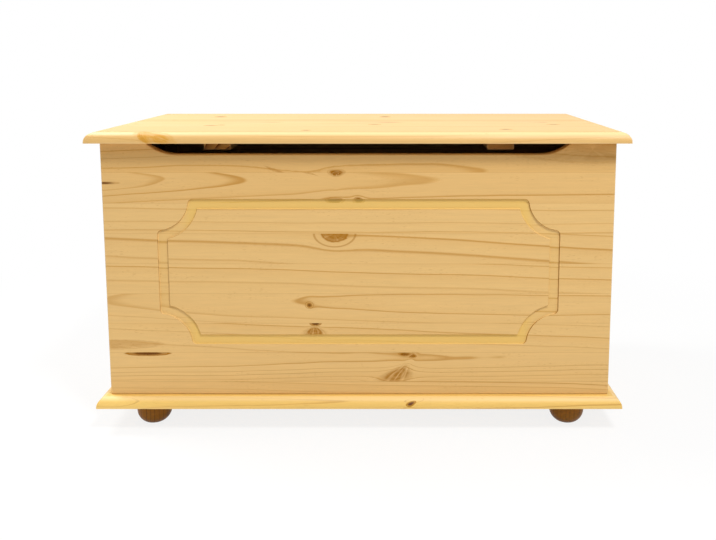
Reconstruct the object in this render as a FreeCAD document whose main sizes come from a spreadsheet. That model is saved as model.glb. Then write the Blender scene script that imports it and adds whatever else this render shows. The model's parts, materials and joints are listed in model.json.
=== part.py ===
import FreeCAD, Part
import os
import Sketcher

# Blanket chest of edge-glued pine: four walls on a moulded base board with four turned
# bun feet, and a moulded lid on two butt hinges, held open by a slotted stay.
# Millimetres and degrees, +Z up, front towards -Y, origin on the floor below the middle.

DIMENSIONS = {
    # Carcass
    "carcass_width": 860,
    "carcass_depth": 430,
    "wall_height": 438,
    "wall_thickness": 18,
    "base_thickness": 18,
    "base_overhang": 20,
    "arris_round": 1.5,
    # Lid
    "lid_thickness": 18,
    "lid_overhang": 20,
    "lid_gap": 0.3,
    "lid_open_angle": 95,
    # Rounded moulding round the front and the sides of the lid and the base board
    "edge_land": 2,
    "edge_step": 4,
    # Finger gap in the top of the front wall
    "finger_gap_margin": 126,
    "finger_gap_depth": 20,
    "finger_gap_radius": 73,
    "finger_gap_round": 2,
    # Routed groove with scooped corners on the front wall
    "groove_side_margin": 90,
    "groove_bottom_margin": 90,
    "groove_top_margin": 95,
    "groove_width": 17.5,
    "groove_depth": 2.5,
    "groove_corner_radius": 1.8,
    "scoop_radius": 53.5,
    # Battens under the lid
    "batten_width": 45,
    "batten_thickness": 15,
    "batten_inset": 190,
    "batten_front_gap": 7,
    "batten_back_gap": 12,
    # Turned feet with their hanger bolts and threaded inserts
    "foot_height": 42,
    "foot_diameter": 60,
    "foot_sole_diameter": 36,
    "foot_side_inset": 84,
    "foot_end_inset": 55,
    "bolt_diameter": 8,
    "bolt_foot_depth": 28,
    "insert_diameter": 12,
    "insert_length": 14,
    # Dowels in the four corners
    "dowel_diameter": 8,
    "dowel_length": 30,
    "dowel_wall_depth": 11,
    "dowel_margin": 60,
    "dowel_count": 4,
    # Countersunk screws: up through the base board, the battens, the hinges and the stay
    "base_screw_head": 8,
    "base_screw_shank": 4,
    "base_screw_length": 45,
    "base_screw_margin": 75,
    "base_screw_row": 4,
    "base_screw_column": 2,
    "batten_screw_head": 7,
    "batten_screw_shank": 3.5,
    "batten_screw_length": 30,
    "batten_screw_margin": 40,
    "batten_screw_row": 3,
    "leaf_screw_head": 6,
    "leaf_screw_shank": 3,
    "leaf_screw_length": 13,
    "leaf_screw_margin": 10,
    "leaf_screw_row": 3,
    "stay_screw_head": 6,
    "stay_screw_shank": 3,
    "stay_screw_length": 12,
    "screw_rim": 0.3,
    # Butt hinges
    "hinge_inset": 150,
    "hinge_length": 60,
    "knuckle_count": 5,
    "knuckle_diameter": 6.4,
    "knuckle_setback": 0.4,
    "knuckle_end_gap": 0.3,
    "leaf_width": 15.5,
    "leaf_thickness": 1.5,
    "hinge_pin_diameter": 3,
    # Slotted stay inside the left wall
    "stay_radius": 150,
    "stay_pivot_drop": 14,
    "stay_stud_angle": 30,
    "stay_thickness": 2,
    "stay_width": 14,
    "stay_wall_gap": 3,
    "stay_play": 0.3,
    "stay_stud_diameter": 6,
    "stay_stud_head": 12,
    "stay_rivet_diameter": 5,
    "stay_rivet_head": 9,
    "stay_head_height": 1.6,
    "stay_bracket_length": 40,
    "stay_bracket_reach": 18,
    "stay_screw_spacing": 26,
    "stay_plate_length": 64,
    "stay_plate_screw_spacing": 44,
    # Clearances: fixed fits in wood and metal, turning fits, overrun of cuts past a face
    "wood_fit": 0.1,
    "turning_fit": 0.05,
    "cut_overrun": 1,
}

doc = FreeCAD.newDocument("blanket_chest")
sheet = doc.addObject("Spreadsheet::Sheet", "dims")
for row, (alias, value) in enumerate(DIMENSIONS.items(), start=1):
    sheet.set(f"A{row}", alias)
    sheet.set(f"B{row}", str(value))
    sheet.setAlias(f"B{row}", alias)
doc.recompute()

# Levels and faces that several pieces share, as expressions of the sheet
KNUCKLE_RADIUS = "dims.knuckle_diameter / 2"
HINGE_SETBACK = f"({KNUCKLE_RADIUS} + dims.knuckle_setback)"
OVERHANG = "max(dims.lid_overhang; dims.base_overhang)"
BACK_FACE = f"((dims.carcass_depth + {OVERHANG} - {HINGE_SETBACK} - {KNUCKLE_RADIUS}) / 2)"
FRONT_FACE = f"({BACK_FACE} - dims.carcass_depth)"
INNER_FRONT = f"({FRONT_FACE} + dims.wall_thickness)"
INNER_BACK = f"({BACK_FACE} - dims.wall_thickness)"
SIDE_FACE = "(dims.carcass_width / 2)"
INNER_SIDE = f"({SIDE_FACE} - dims.wall_thickness)"
BASE_TOP = "(dims.foot_height + dims.base_thickness)"
WALL_TOP = f"({BASE_TOP} + dims.wall_height)"
LID_BOTTOM = f"({WALL_TOP} + dims.lid_gap)"
AXIS_Y = f"({BACK_FACE} + {HINGE_SETBACK})"
AXIS_Z = f"({WALL_TOP} + dims.lid_gap / 2)"

UP = FreeCAD.Rotation()
DOWN = FreeCAD.Rotation(FreeCAD.Vector(1, 0, 0), 180)
BACKWARDS = FreeCAD.Rotation(FreeCAD.Vector(1, 0, 0), -90)
LEFTWARDS = FreeCAD.Rotation(FreeCAD.Vector(0, 1, 0), -90)
RIGHTWARDS = FreeCAD.Rotation(FreeCAD.Vector(0, 1, 0), 90)


def size(expression):
    """Number that an expression of the sheet gives."""
    return float(sheet.evalExpression(expression))


def count(alias):
    """Whole number in one cell of the sheet."""
    return round(size(f"dims.{alias}"))


def place(item, x, y, z, rotation=UP):
    """Put an object at bound coordinates, turned by a fixed rotation."""
    item.Placement = FreeCAD.Placement(FreeCAD.Vector(), rotation)
    item.setExpression("Placement.Base.x", x)
    item.setExpression("Placement.Base.y", y)
    item.setExpression("Placement.Base.z", z)
    return item


def spread(first, last, total):
    """Bound coordinates of evenly spaced copies from first to last."""
    return [f"({first} + {i} * ({last} - {first}) / ({total} - 1))" for i in range(total)]


def box(name, length, width, height, x, y, z):
    """Block with bound sizes and its lowest corner at x, y, z."""
    item = doc.addObject("Part::Box", name)
    item.setExpression("Length", length)
    item.setExpression("Width", width)
    item.setExpression("Height", height)
    return place(item, x, y, z)


def cylinder(name, diameter, height, x, y, z, rotation=UP):
    """Rod with bound sizes, from x, y, z along its turned Z axis."""
    item = doc.addObject("Part::Cylinder", name)
    item.setExpression("Radius", f"({diameter}) / 2")
    item.setExpression("Height", height)
    return place(item, x, y, z, rotation)


def group(name, items):
    """Separate solids gathered under one label."""
    item = doc.addObject("Part::Compound", name)
    item.Links = items
    return item


def cut(name, base, tools):
    """Piece left of a blank once the tools are taken out of it."""
    item = doc.addObject("Part::Cut", name)
    item.Base = base
    item.Tool = tools[0] if len(tools) == 1 else group(f"{name}_tools", tools)
    return item


def copies(name, master, stations, rotation):
    """Linked copies of a master solid, one at each station."""
    links = []
    for number, station in enumerate(stations):
        link = doc.addObject("App::Link", f"{name}_{number}")
        link.LinkedObject = master
        links.append(place(link, *station, rotation))
    return links


def sketch_on(body, name, role, offset="0"):
    """Sketch on one of the body's own origin planes, moved along its normal."""
    sketch = body.newObject("Sketcher::SketchObject", name)
    plane = next(item for item in body.Origin.OriginFeatures if item.Role == role)
    sketch.AttachmentSupport = [(plane, "")]
    sketch.MapMode = "FlatFace"
    sketch.setExpression("AttachmentOffset.Base.z", offset)
    return sketch


def hold(sketch, kind, geometry, point, expression):
    """Tie one coordinate of a sketch point to an expression."""
    constraint = Sketcher.Constraint(kind, -1, 1, geometry, point, size(expression))
    sketch.setExpression(f"Constraints[{sketch.addConstraint(constraint)}]", expression)


def outline(sketch, *moves):
    """Closed run of bound corners: (x, y) after a line, (x, y, centre x, centre y, turn) after an arc."""
    corners = [FreeCAD.Vector(size(move[0]), size(move[1]), 0) for move in moves]
    ends = []
    for move, start, end in zip(moves, corners[-1:] + corners[:-1], corners):
        if len(move) == 2:
            edge = sketch.addGeometry(Part.LineSegment(start, end))
            ends.append((edge, 1, 2))
            continue
        x, y, centre_x, centre_y, turn = move
        centre = FreeCAD.Vector(size(centre_x), size(centre_y), 0)
        circle = Part.Circle(centre, FreeCAD.Vector(0, 0, 1), (start - centre).Length)
        first, last = (start, end) if turn == "left" else (end, start)
        arc = Part.ArcOfCircle(circle, circle.parameter(first), circle.parameter(last))
        edge = sketch.addGeometry(arc)
        ends.append((edge, 1, 2) if turn == "left" else (edge, 2, 1))
        # the chord's own direction leaves only the other coordinate of the centre free
        upright = abs(end.y - start.y) > abs(end.x - start.x)
        hold(sketch, "DistanceX" if upright else "DistanceY", edge, 3, centre_x if upright else centre_y)
    for move, (edge, _, finish), (following, begin, _) in zip(moves, ends, ends[1:] + ends[:1]):
        hold(sketch, "DistanceX", edge, finish, move[0])
        hold(sketch, "DistanceY", edge, finish, move[1])
        sketch.addConstraint(Sketcher.Constraint("Coincident", edge, finish, following, begin))


def ring(sketch, x, y, diameter):
    """Circle in a sketch with a bound centre and diameter."""
    centre = FreeCAD.Vector(size(x), size(y), 0)
    edge = sketch.addGeometry(Part.Circle(centre, FreeCAD.Vector(0, 0, 1), size(diameter) / 2))
    hold(sketch, "DistanceX", edge, 3, x)
    hold(sketch, "DistanceY", edge, 3, y)
    index = sketch.addConstraint(Sketcher.Constraint("Diameter", edge, size(diameter)))
    sketch.setExpression(f"Constraints[{index}]", diameter)


def rectangle(sketch, x0, x1, y0, y1):
    """Bound rectangle in a sketch."""
    outline(sketch, (x1, y0), (x1, y1), (x0, y1), (x0, y0))


def new_body(name):
    """Empty body that holds one piece."""
    return doc.addObject("PartDesign::Body", name)


def pad(body, sketch, length, reverse=False):
    """Thicken a sketch along its normal, or against it."""
    feature = body.newObject("PartDesign::Pad", f"{sketch.Name}_pad")
    feature.Profile = sketch
    feature.setExpression("Length", length)
    feature.Reversed = reverse
    doc.recompute()
    return feature


def pocket(body, sketch, length):
    """Cut a sketch into the body against its normal, and make sure that it took something away."""
    before = body.Shape.Volume
    feature = body.newObject("PartDesign::Pocket", f"{sketch.Name}_pocket")
    feature.Profile = sketch
    feature.setExpression("Length", length)
    doc.recompute()
    if not body.Shape.Volume < before:
        raise RuntimeError(f"{feature.Name} cuts nothing")
    return feature


def revolve(body, sketch, axis):
    """Turn a sketch right round one of its own axes."""
    feature = body.newObject("PartDesign::Revolution", f"{sketch.Name}_turned")
    feature.Profile = sketch
    feature.ReferenceAxis = (sketch, [axis])
    feature.Angle = 360
    doc.recompute()
    return feature


def round_edges(body, feature, radius, chosen):
    """Round the edges of a feature whose middle point the test accepts."""
    names = []
    for number, edge in enumerate(feature.Shape.Edges, start=1):
        middle = edge.valueAt((edge.FirstParameter + edge.LastParameter) / 2)
        if chosen(middle):
            names.append(f"Edge{number}")
    fillet = body.newObject("PartDesign::Fillet", f"{feature.Name}_round")
    fillet.Base = (feature, names)
    fillet.setExpression("Radius", radius)
    doc.recompute()
    return fillet


def near(first, second):
    """Whether two coordinates are the same within the modeller's accuracy."""
    return abs(first - second) < 1e-4


def screw(kind, grow="0", lead="0"):
    """Countersunk screw of one kind, head at zero and point towards +Z, or the hole that takes it."""
    body = new_body(f"{kind}_hole" if lead != "0" else f"{kind}_master")
    sketch = sketch_on(body, f"{body.Name}_profile", "XZ_Plane")
    head = f"(dims.{kind}_head / 2 + {grow})"
    shank = f"(dims.{kind}_shank / 2 + {grow})"
    cone_end = f"(dims.screw_rim + (dims.{kind}_head - dims.{kind}_shank) / 2)"
    point = f"(dims.{kind}_length + {grow})"
    outline(
        sketch,
        ("0", f"-{lead}"),
        (head, f"-{lead}"),
        (head, "dims.screw_rim"),
        (shank, cone_end),
        (shank, f"({point} - dims.{kind}_shank)"),
        ("0", point),
    )
    revolve(body, sketch, "V_Axis")
    return body


def screw_set(kind, label, stations, rotation):
    """Screws at their stations under one label; gives the tool that makes their holes."""
    group(label, copies(f"{label}_item", screw_masters[kind], stations, rotation))
    return group(f"{label}_holes", copies(f"{label}_hole", screw_holes[kind], stations, rotation))


def moulded_board(name, thickness, overhang, radius, z):
    """Board with its top edge rounded along the front and both sides, flush at the back."""
    body = new_body(name)
    sketch = sketch_on(body, f"{name}_plan", "XY_Plane")
    half = f"({SIDE_FACE} + {overhang})"
    front = f"({FRONT_FACE} - {overhang})"
    rectangle(sketch, f"-{half}", half, front, BACK_FACE)
    slab = pad(body, sketch, thickness)
    top, back = size(thickness), size(BACK_FACE)
    round_edges(body, slab, radius, lambda middle: near(middle.z, top) and not near(middle.y, back))
    return place(body, "0", "0", z)


def fit_dowels():
    """Dowels that pin the side walls between the front and the back wall, and their holes."""
    lowest = f"({BASE_TOP} + dims.dowel_margin)"
    highest = f"({WALL_TOP} - dims.dowel_margin)"
    levels = spread(lowest, highest, count("dowel_count"))
    middle = f"({SIDE_FACE} - dims.wall_thickness / 2)"
    front_start = f"({INNER_FRONT} - dims.dowel_wall_depth)"
    back_start = f"({INNER_BACK} + dims.dowel_wall_depth - dims.dowel_length)"
    dowels, holes = [], []
    for x in (f"-{middle}", middle):
        for y in (front_start, back_start):
            for z in levels:
                number = len(dowels)
                name = f"dowel_{number}"
                dowels.append(
                    cylinder(name, "dims.dowel_diameter", "dims.dowel_length", x, y, z, BACKWARDS)
                )
                holes.append(
                    cylinder(
                        f"dowel_hole_{number}",
                        "dims.dowel_diameter + 2 * dims.wood_fit",
                        "dims.dowel_length + 2 * dims.wood_fit",
                        x,
                        f"({y} - dims.wood_fit)",
                        z,
                        BACKWARDS,
                    )
                )
    group("corner_dowels", dowels)
    return group("corner_dowel_holes", holes)


def front_wall(holes):
    """Front wall with the finger gap in its top edge and the routed groove on its face."""
    body = new_body("front_panel_blank")
    sketch = sketch_on(body, "front_panel_outline", "XZ_Plane")
    top = "dims.wall_height"
    floor = "(dims.wall_height - dims.finger_gap_depth)"
    floor_end = f"({SIDE_FACE} - dims.finger_gap_margin)"
    rise = "(dims.finger_gap_radius - dims.finger_gap_depth)"
    mouth_end = f"({floor_end} + sqrt(dims.finger_gap_radius ^ 2 - {rise} ^ 2))"
    centre = f"({floor} + dims.finger_gap_radius)"
    outline(
        sketch,
        (SIDE_FACE, "0"),
        (SIDE_FACE, top),
        (mouth_end, top),
        (floor_end, floor, floor_end, centre, "right"),
        (f"-{floor_end}", floor),
        (f"-{mouth_end}", top, f"-{floor_end}", centre, "right"),
        (f"-{SIDE_FACE}", top),
        (f"-{SIDE_FACE}", "0"),
    )
    slab = pad(body, sketch, "dims.wall_thickness")
    face, edge_x = size("-dims.wall_thickness"), size(SIDE_FACE)
    eased = round_edges(
        body,
        slab,
        "dims.arris_round",
        lambda middle: near(middle.y, face) and near(abs(middle.x), edge_x),
    )
    edge_z, inside_x = size(top), size(mouth_end)
    round_edges(
        body,
        eased,
        "dims.finger_gap_round",
        lambda middle: near(middle.y, face) and 0 < middle.z < edge_z and abs(middle.x) < inside_x,
    )
    groove_path = sketch_on(body, "groove_path", "XZ_Plane", "dims.wall_thickness")
    half = "(dims.groove_width / 2)"
    side = f"({SIDE_FACE} - dims.groove_side_margin)"
    low = "dims.groove_bottom_margin"
    high = "(dims.wall_height - dims.groove_top_margin)"
    reach = f"sqrt((dims.scoop_radius + {half}) ^ 2 - {half} ^ 2)"
    outline(
        groove_path,
        (f"({side} - {reach})", f"({low} + {half})"),
        (f"({side} - {half})", f"({low} + {reach})", side, low, "right"),
        (f"({side} - {half})", f"({high} - {reach})"),
        (f"({side} - {reach})", f"({high} - {half})", side, high, "right"),
        (f"-({side} - {reach})", f"({high} - {half})"),
        (f"-({side} - {half})", f"({high} - {reach})", f"-{side}", high, "right"),
        (f"-({side} - {half})", f"({low} + {reach})"),
        (f"-({side} - {reach})", f"({low} + {half})", f"-{side}", low, "right"),
        ("0", f"({low} + {half})"),
    )
    groove_section = sketch_on(body, "groove_section", "YZ_Plane")
    face_y = "-dims.wall_thickness"
    floor_y = f"({face_y} + dims.groove_depth)"
    corner_y = f"({floor_y} - dims.groove_corner_radius)"
    lower_corner = f"({low} + dims.groove_corner_radius)"
    upper = f"({low} + dims.groove_width)"
    upper_corner = f"({upper} - dims.groove_corner_radius)"
    outline(
        groove_section,
        (f"({face_y} - dims.cut_overrun)", low),
        (corner_y, low),
        (floor_y, lower_corner, corner_y, lower_corner, "left"),
        (floor_y, upper_corner),
        (corner_y, upper, corner_y, upper_corner, "left"),
        (f"({face_y} - dims.cut_overrun)", upper),
    )
    doc.recompute()
    before = body.Shape.Volume
    groove = body.newObject("PartDesign::SubtractivePipe", "groove")
    groove.Profile = groove_section
    groove.Spine = groove_path
    groove.Transition = "Round corner"
    doc.recompute()
    if not body.Shape.Volume < before:
        raise RuntimeError("the groove cuts nothing")
    place(body, "0", INNER_FRONT, BASE_TOP)
    cut("front_panel", body, holes)


def back_wall(holes):
    """Back wall with its outer upright edges eased."""
    body = new_body("back_panel_blank")
    sketch = sketch_on(body, "back_panel_outline", "XZ_Plane")
    rectangle(sketch, f"-{SIDE_FACE}", SIDE_FACE, "0", "dims.wall_height")
    slab = pad(body, sketch, "dims.wall_thickness")
    edge_x = size(SIDE_FACE)
    round_edges(
        body,
        slab,
        "dims.arris_round",
        lambda middle: near(middle.y, 0) and near(abs(middle.x), edge_x),
    )
    place(body, "0", BACK_FACE, BASE_TOP)
    cut("back_panel", body, holes)


def batten(label, x, front, back, z, holes):
    """Batten under the lid with the edges of its underside eased."""
    body = new_body(f"{label}_blank")
    sketch = sketch_on(body, f"{label}_plan", "XY_Plane")
    rectangle(sketch, "-dims.batten_width / 2", "dims.batten_width / 2", front, back)
    slab = pad(body, sketch, "dims.batten_thickness")
    round_edges(body, slab, "dims.arris_round", lambda middle: near(middle.z, 0))
    place(body, x, "0", z)
    cut(label, body, holes)


def turned_foot(label, x, y):
    """Bun foot turned from one piece, bored from the top for its hanger bolt."""
    body = new_body(label)
    sketch = sketch_on(body, f"{label}_profile", "XZ_Plane")
    sole = "(dims.foot_sole_diameter / 2)"
    bulge = f"(dims.foot_diameter / 2 - {sole})"
    middle = "(dims.foot_height / 2)"
    arc = f"(({middle} ^ 2 + {bulge} ^ 2) / (2 * {bulge}))"
    bore = "(dims.bolt_diameter / 2 + dims.wood_fit)"
    bore_floor = "(dims.foot_height - dims.bolt_foot_depth - dims.wood_fit)"
    outline(
        sketch,
        ("0", "0"),
        (sole, "0"),
        (sole, "dims.foot_height", f"(dims.foot_diameter / 2 - {arc})", middle, "left"),
        (bore, "dims.foot_height"),
        (bore, bore_floor),
        ("0", bore_floor),
    )
    revolve(body, sketch, "V_Axis")
    return place(body, x, y, "0")


def hinge_leaf(label, up, own_knuckles, x, holes):
    """Hinge leaf with its share of the knuckles, above or below the pin."""
    body = new_body(f"{label}_blank")
    side = "1" if up else "-1"
    near_face = f"({side} * dims.lid_gap / 2)"
    far_face = f"({side} * (dims.lid_gap / 2 + dims.leaf_thickness))"
    tail = f"-({HINGE_SETBACK} + dims.leaf_width)"
    section = sketch_on(body, f"{label}_section", "YZ_Plane", "-dims.hinge_length / 2")
    outline(
        section,
        (tail, near_face),
        (f"-sqrt(({KNUCKLE_RADIUS}) ^ 2 - {near_face} ^ 2)", near_face),
        (
            f"-sqrt(({KNUCKLE_RADIUS}) ^ 2 - {far_face} ^ 2)",
            far_face,
            "0",
            "0",
            "left" if up else "right",
        ),
        (tail, far_face),
    )
    ring(section, "0", "0", "dims.hinge_pin_diameter + 2 * dims.turning_fit")
    pad(body, section, "dims.hinge_length")
    notches = sketch_on(body, f"{label}_notches", "XY_Plane", "dims.knuckle_diameter")
    swing = f"({KNUCKLE_RADIUS} + dims.knuckle_end_gap)"
    for knuckle in range(count("knuckle_count")):
        if knuckle in own_knuckles:
            continue
        start = f"(dims.hinge_length * ({knuckle} / dims.knuckle_count - 0.5) - dims.knuckle_end_gap)"
        end = f"(dims.hinge_length * ({knuckle + 1} / dims.knuckle_count - 0.5) + dims.knuckle_end_gap)"
        rectangle(notches, start, end, f"-{swing}", swing)
    pocket(body, notches, "2 * dims.knuckle_diameter")
    place(body, x, AXIS_Y, AXIS_Z)
    cut(label, body, [holes])


screw_masters = {}
screw_holes = {}
for kind in ("base_screw", "batten_screw", "leaf_screw", "stay_screw"):
    screw_masters[kind] = screw(kind)
    screw_holes[kind] = screw(kind, "dims.wood_fit", "dims.cut_overrun")

# Screw places: rows under the front and the back wall, columns under the side walls
row_end = f"({SIDE_FACE} - dims.base_screw_margin)"
row_x = spread(f"-{row_end}", row_end, count("base_screw_row"))
column_y = spread(
    f"({FRONT_FACE} + dims.base_screw_margin)",
    f"({BACK_FACE} - dims.base_screw_margin)",
    count("base_screw_column"),
)
half_wall = "dims.wall_thickness / 2"
row_y = (f"({FRONT_FACE} + {half_wall})", f"({BACK_FACE} - {half_wall})")
column_x = (f"-({SIDE_FACE} - {half_wall})", f"({SIDE_FACE} - {half_wall})")
base_stations = [(x, y, "dims.foot_height") for y in row_y for x in row_x]
base_stations += [(x, y, "dims.foot_height") for x in column_x for y in column_y]
base_screw_holes = screw_set("base_screw", "base_screws", base_stations, UP)

batten_front = f"({INNER_FRONT} + dims.batten_front_gap)"
batten_back = f"({INNER_BACK} - dims.batten_back_gap)"
batten_underside = f"({LID_BOTTOM} - dims.batten_thickness)"
batten_offset = f"({SIDE_FACE} - dims.batten_inset)"
batten_middles = {"left": f"-{batten_offset}", "right": batten_offset}
batten_stations = [
    (x, y, batten_underside)
    for x in batten_middles.values()
    for y in spread(
        f"({batten_front} + dims.batten_screw_margin)",
        f"({batten_back} - dims.batten_screw_margin)",
        count("batten_screw_row"),
    )
]
batten_screw_holes = screw_set("batten_screw", "batten_screws", batten_stations, UP)

hinge_offset = f"({SIDE_FACE} - dims.hinge_inset)"
hinge_middles = {"left": f"-{hinge_offset}", "right": hinge_offset}
leaf_row_y = f"({BACK_FACE} - dims.leaf_width / 2)"
leaf_row_end = "(dims.hinge_length / 2 - dims.leaf_screw_margin)"
leaf_row_x = spread(f"-{leaf_row_end}", leaf_row_end, count("leaf_screw_row"))
leaf_places = [f"({middle} + {offset})" for middle in hinge_middles.values() for offset in leaf_row_x]
wall_leaf_holes = screw_set(
    "leaf_screw", "hinge_wall_screws", [(x, leaf_row_y, WALL_TOP) for x in leaf_places], DOWN
)
lid_leaf_holes = screw_set(
    "leaf_screw", "hinge_lid_screws", [(x, leaf_row_y, LID_BOTTOM) for x in leaf_places], UP
)

# Stay: the pivot on the lid and the stud on the wall are equally far from the hinge pin,
# so the slotted arm turns by half the angle of the lid
pivot_forward = "sqrt(dims.stay_radius ^ 2 - dims.stay_pivot_drop ^ 2)"
pivot_angle = "(asin(dims.stay_pivot_drop / dims.stay_radius) / 1 deg)"
pivot_y = f"({AXIS_Y} - {pivot_forward})"
pivot_z = f"({AXIS_Z} - dims.stay_pivot_drop)"
stud_y = f"({AXIS_Y} - dims.stay_radius * cos(dims.stay_stud_angle))"
stud_z = f"({AXIS_Z} - dims.stay_radius * sin(dims.stay_stud_angle))"
reach_closed = f"(2 * dims.stay_radius * sin((dims.stay_stud_angle - {pivot_angle}) / 2))"
reach_open = (
    f"(2 * dims.stay_radius * sin((dims.stay_stud_angle - {pivot_angle} + dims.lid_open_angle) / 2))"
)
arm_face = f"(-{INNER_SIDE} + dims.stay_wall_gap)"
bracket_face = f"({arm_face} + dims.stay_thickness + dims.stay_play)"
bracket_rise = "(dims.stay_pivot_drop + dims.lid_gap / 2)"
flange_middle = f"({bracket_face} + dims.stay_thickness + dims.stay_bracket_reach / 2)"
flange_screw_offset = "dims.stay_screw_spacing / 2"
plate_face = f"(-{INNER_SIDE} + dims.stay_thickness)"
plate_screw_offset = "dims.stay_plate_screw_spacing / 2"
stay_lid_holes = screw_set(
    "stay_screw",
    "stay_lid_screws",
    [
        (flange_middle, f"({pivot_y} - {flange_screw_offset})", f"({LID_BOTTOM} - dims.stay_thickness)"),
        (flange_middle, f"({pivot_y} + {flange_screw_offset})", f"({LID_BOTTOM} - dims.stay_thickness)"),
    ],
    UP,
)
stay_wall_holes = screw_set(
    "stay_screw",
    "stay_wall_screws",
    [
        (plate_face, stud_y, f"({stud_z} - {plate_screw_offset})"),
        (plate_face, stud_y, f"({stud_z} + {plate_screw_offset})"),
    ],
    LEFTWARDS,
)

# Feet at the four corners of the base board, each on a hanger bolt in a threaded insert
foot_x = f"({SIDE_FACE} + dims.base_overhang - dims.foot_side_inset)"
foot_places = {
    "foot_front_left": (f"-{foot_x}", f"({FRONT_FACE} - dims.base_overhang + dims.foot_end_inset)"),
    "foot_front_right": (foot_x, f"({FRONT_FACE} - dims.base_overhang + dims.foot_end_inset)"),
    "foot_back_left": (f"-{foot_x}", f"({BACK_FACE} - dims.foot_end_inset)"),
    "foot_back_right": (foot_x, f"({BACK_FACE} - dims.foot_end_inset)"),
}
bolts, inserts, insert_holes = [], [], []
for label, (x, y) in foot_places.items():
    turned_foot(label, x, y)
    bolts.append(
        cylinder(
            f"{label}_bolt",
            "dims.bolt_diameter",
            "dims.bolt_foot_depth + dims.insert_length",
            x,
            y,
            "dims.foot_height - dims.bolt_foot_depth",
        )
    )
    sleeve = cylinder(
        f"{label}_sleeve", "dims.insert_diameter", "dims.insert_length", x, y, "dims.foot_height"
    )
    bore = cylinder(
        f"{label}_bore",
        "dims.bolt_diameter + 2 * dims.turning_fit",
        "dims.insert_length + 2 * dims.cut_overrun",
        x,
        y,
        "dims.foot_height - dims.cut_overrun",
    )
    inserts.append(cut(f"{label}_insert", sleeve, [bore]))
    insert_holes.append(
        cylinder(
            f"{label}_insert_hole",
            "dims.insert_diameter + 2 * dims.wood_fit",
            "dims.insert_length + dims.wood_fit + dims.cut_overrun",
            x,
            y,
            "dims.foot_height - dims.cut_overrun",
        )
    )
group("foot_bolts", bolts)
group("foot_inserts", inserts)

# Base board
base_radius = "min(dims.base_thickness - dims.edge_land; dims.base_overhang - dims.edge_step)"
base_blank = moulded_board(
    "base_board_blank", "dims.base_thickness", "dims.base_overhang", base_radius, "dims.foot_height"
)
cut("base_board", base_blank, insert_holes + [base_screw_holes])

# Walls
dowel_holes = fit_dowels()
front_wall([dowel_holes, base_screw_holes])
mortise_x = [f"({middle} - dims.hinge_length / 2 - dims.wood_fit)" for middle in hinge_middles.values()]
mortise_length = "dims.hinge_length + 2 * dims.wood_fit"
mortise_width = "dims.leaf_width + dims.wood_fit + dims.cut_overrun"
mortise_front = f"({BACK_FACE} - dims.leaf_width - dims.wood_fit)"
mortise_depth = "dims.leaf_thickness + dims.cut_overrun"
wall_mortises = [
    box(
        f"wall_mortise_{number}",
        mortise_length,
        mortise_width,
        mortise_depth,
        x,
        mortise_front,
        f"({WALL_TOP} - dims.leaf_thickness)",
    )
    for number, x in enumerate(mortise_x)
]
back_wall([dowel_holes, base_screw_holes, wall_leaf_holes] + wall_mortises)
side_depth = "dims.carcass_depth - 2 * dims.wall_thickness"
side_walls = (("left_panel", f"-{SIDE_FACE}", [stay_wall_holes]), ("right_panel", INNER_SIDE, []))
for label, x, extra_holes in side_walls:
    side_blank = box(
        f"{label}_blank", "dims.wall_thickness", side_depth, "dims.wall_height", x, INNER_FRONT, BASE_TOP
    )
    cut(label, side_blank, [dowel_holes, base_screw_holes] + extra_holes)

# Lid with its battens
lid_radius = "dims.lid_thickness - dims.edge_land"
lid_blank = moulded_board(
    "lid_panel_blank", "dims.lid_thickness", "dims.lid_overhang", lid_radius, LID_BOTTOM
)
lid_mortises = [
    box(
        f"lid_mortise_{number}",
        mortise_length,
        mortise_width,
        mortise_depth,
        x,
        mortise_front,
        f"({LID_BOTTOM} - dims.cut_overrun)",
    )
    for number, x in enumerate(mortise_x)
]
cut("lid_panel", lid_blank, [batten_screw_holes, lid_leaf_holes, stay_lid_holes] + lid_mortises)
for side, middle in batten_middles.items():
    batten(f"lid_batten_{side}", middle, batten_front, batten_back, batten_underside, [batten_screw_holes])

# Hinges: the wall leaf has the outer knuckles, the lid leaf those between them
knuckles = range(count("knuckle_count"))
for side, middle in hinge_middles.items():
    hinge_leaf(f"hinge_{side}_wall_leaf", False, knuckles[::2], middle, wall_leaf_holes)
    hinge_leaf(f"hinge_{side}_lid_leaf", True, knuckles[1::2], middle, lid_leaf_holes)
    cylinder(
        f"hinge_{side}_pin",
        "dims.hinge_pin_diameter",
        "dims.hinge_length",
        f"({middle} - dims.hinge_length / 2)",
        AXIS_Y,
        AXIS_Z,
        RIGHTWARDS,
    )

# Stay arm, hanging from its pivot, with the slot that slides over the stud
arm = new_body("stay_arm")
arm_sketch = sketch_on(arm, "stay_arm_outline", "YZ_Plane")
arm_half = "(dims.stay_width / 2)"
arm_tip = f"-({reach_open} + {arm_half})"
outline(
    arm_sketch,
    (arm_half, "0"),
    (f"-{arm_half}", "0", "0", "0", "left"),
    (f"-{arm_half}", arm_tip),
    (arm_half, arm_tip, "0", arm_tip, "left"),
)
slot_half = "(dims.stay_stud_diameter / 2 + dims.stay_play)"
outline(
    arm_sketch,
    (slot_half, f"-{reach_closed}"),
    (f"-{slot_half}", f"-{reach_closed}", "0", f"-{reach_closed}", "left"),
    (f"-{slot_half}", f"-{reach_open}"),
    (slot_half, f"-{reach_open}", "0", f"-{reach_open}", "left"),
)
ring(arm_sketch, "0", "0", "dims.stay_rivet_diameter + 2 * dims.turning_fit")
pad(arm, arm_sketch, "dims.stay_thickness")
place(arm, arm_face, pivot_y, pivot_z, FreeCAD.Rotation(FreeCAD.Vector(1, 0, 0), 1))
arm.setExpression("Placement.Rotation.Angle", f"(dims.stay_stud_angle + {pivot_angle}) / 2")

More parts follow.
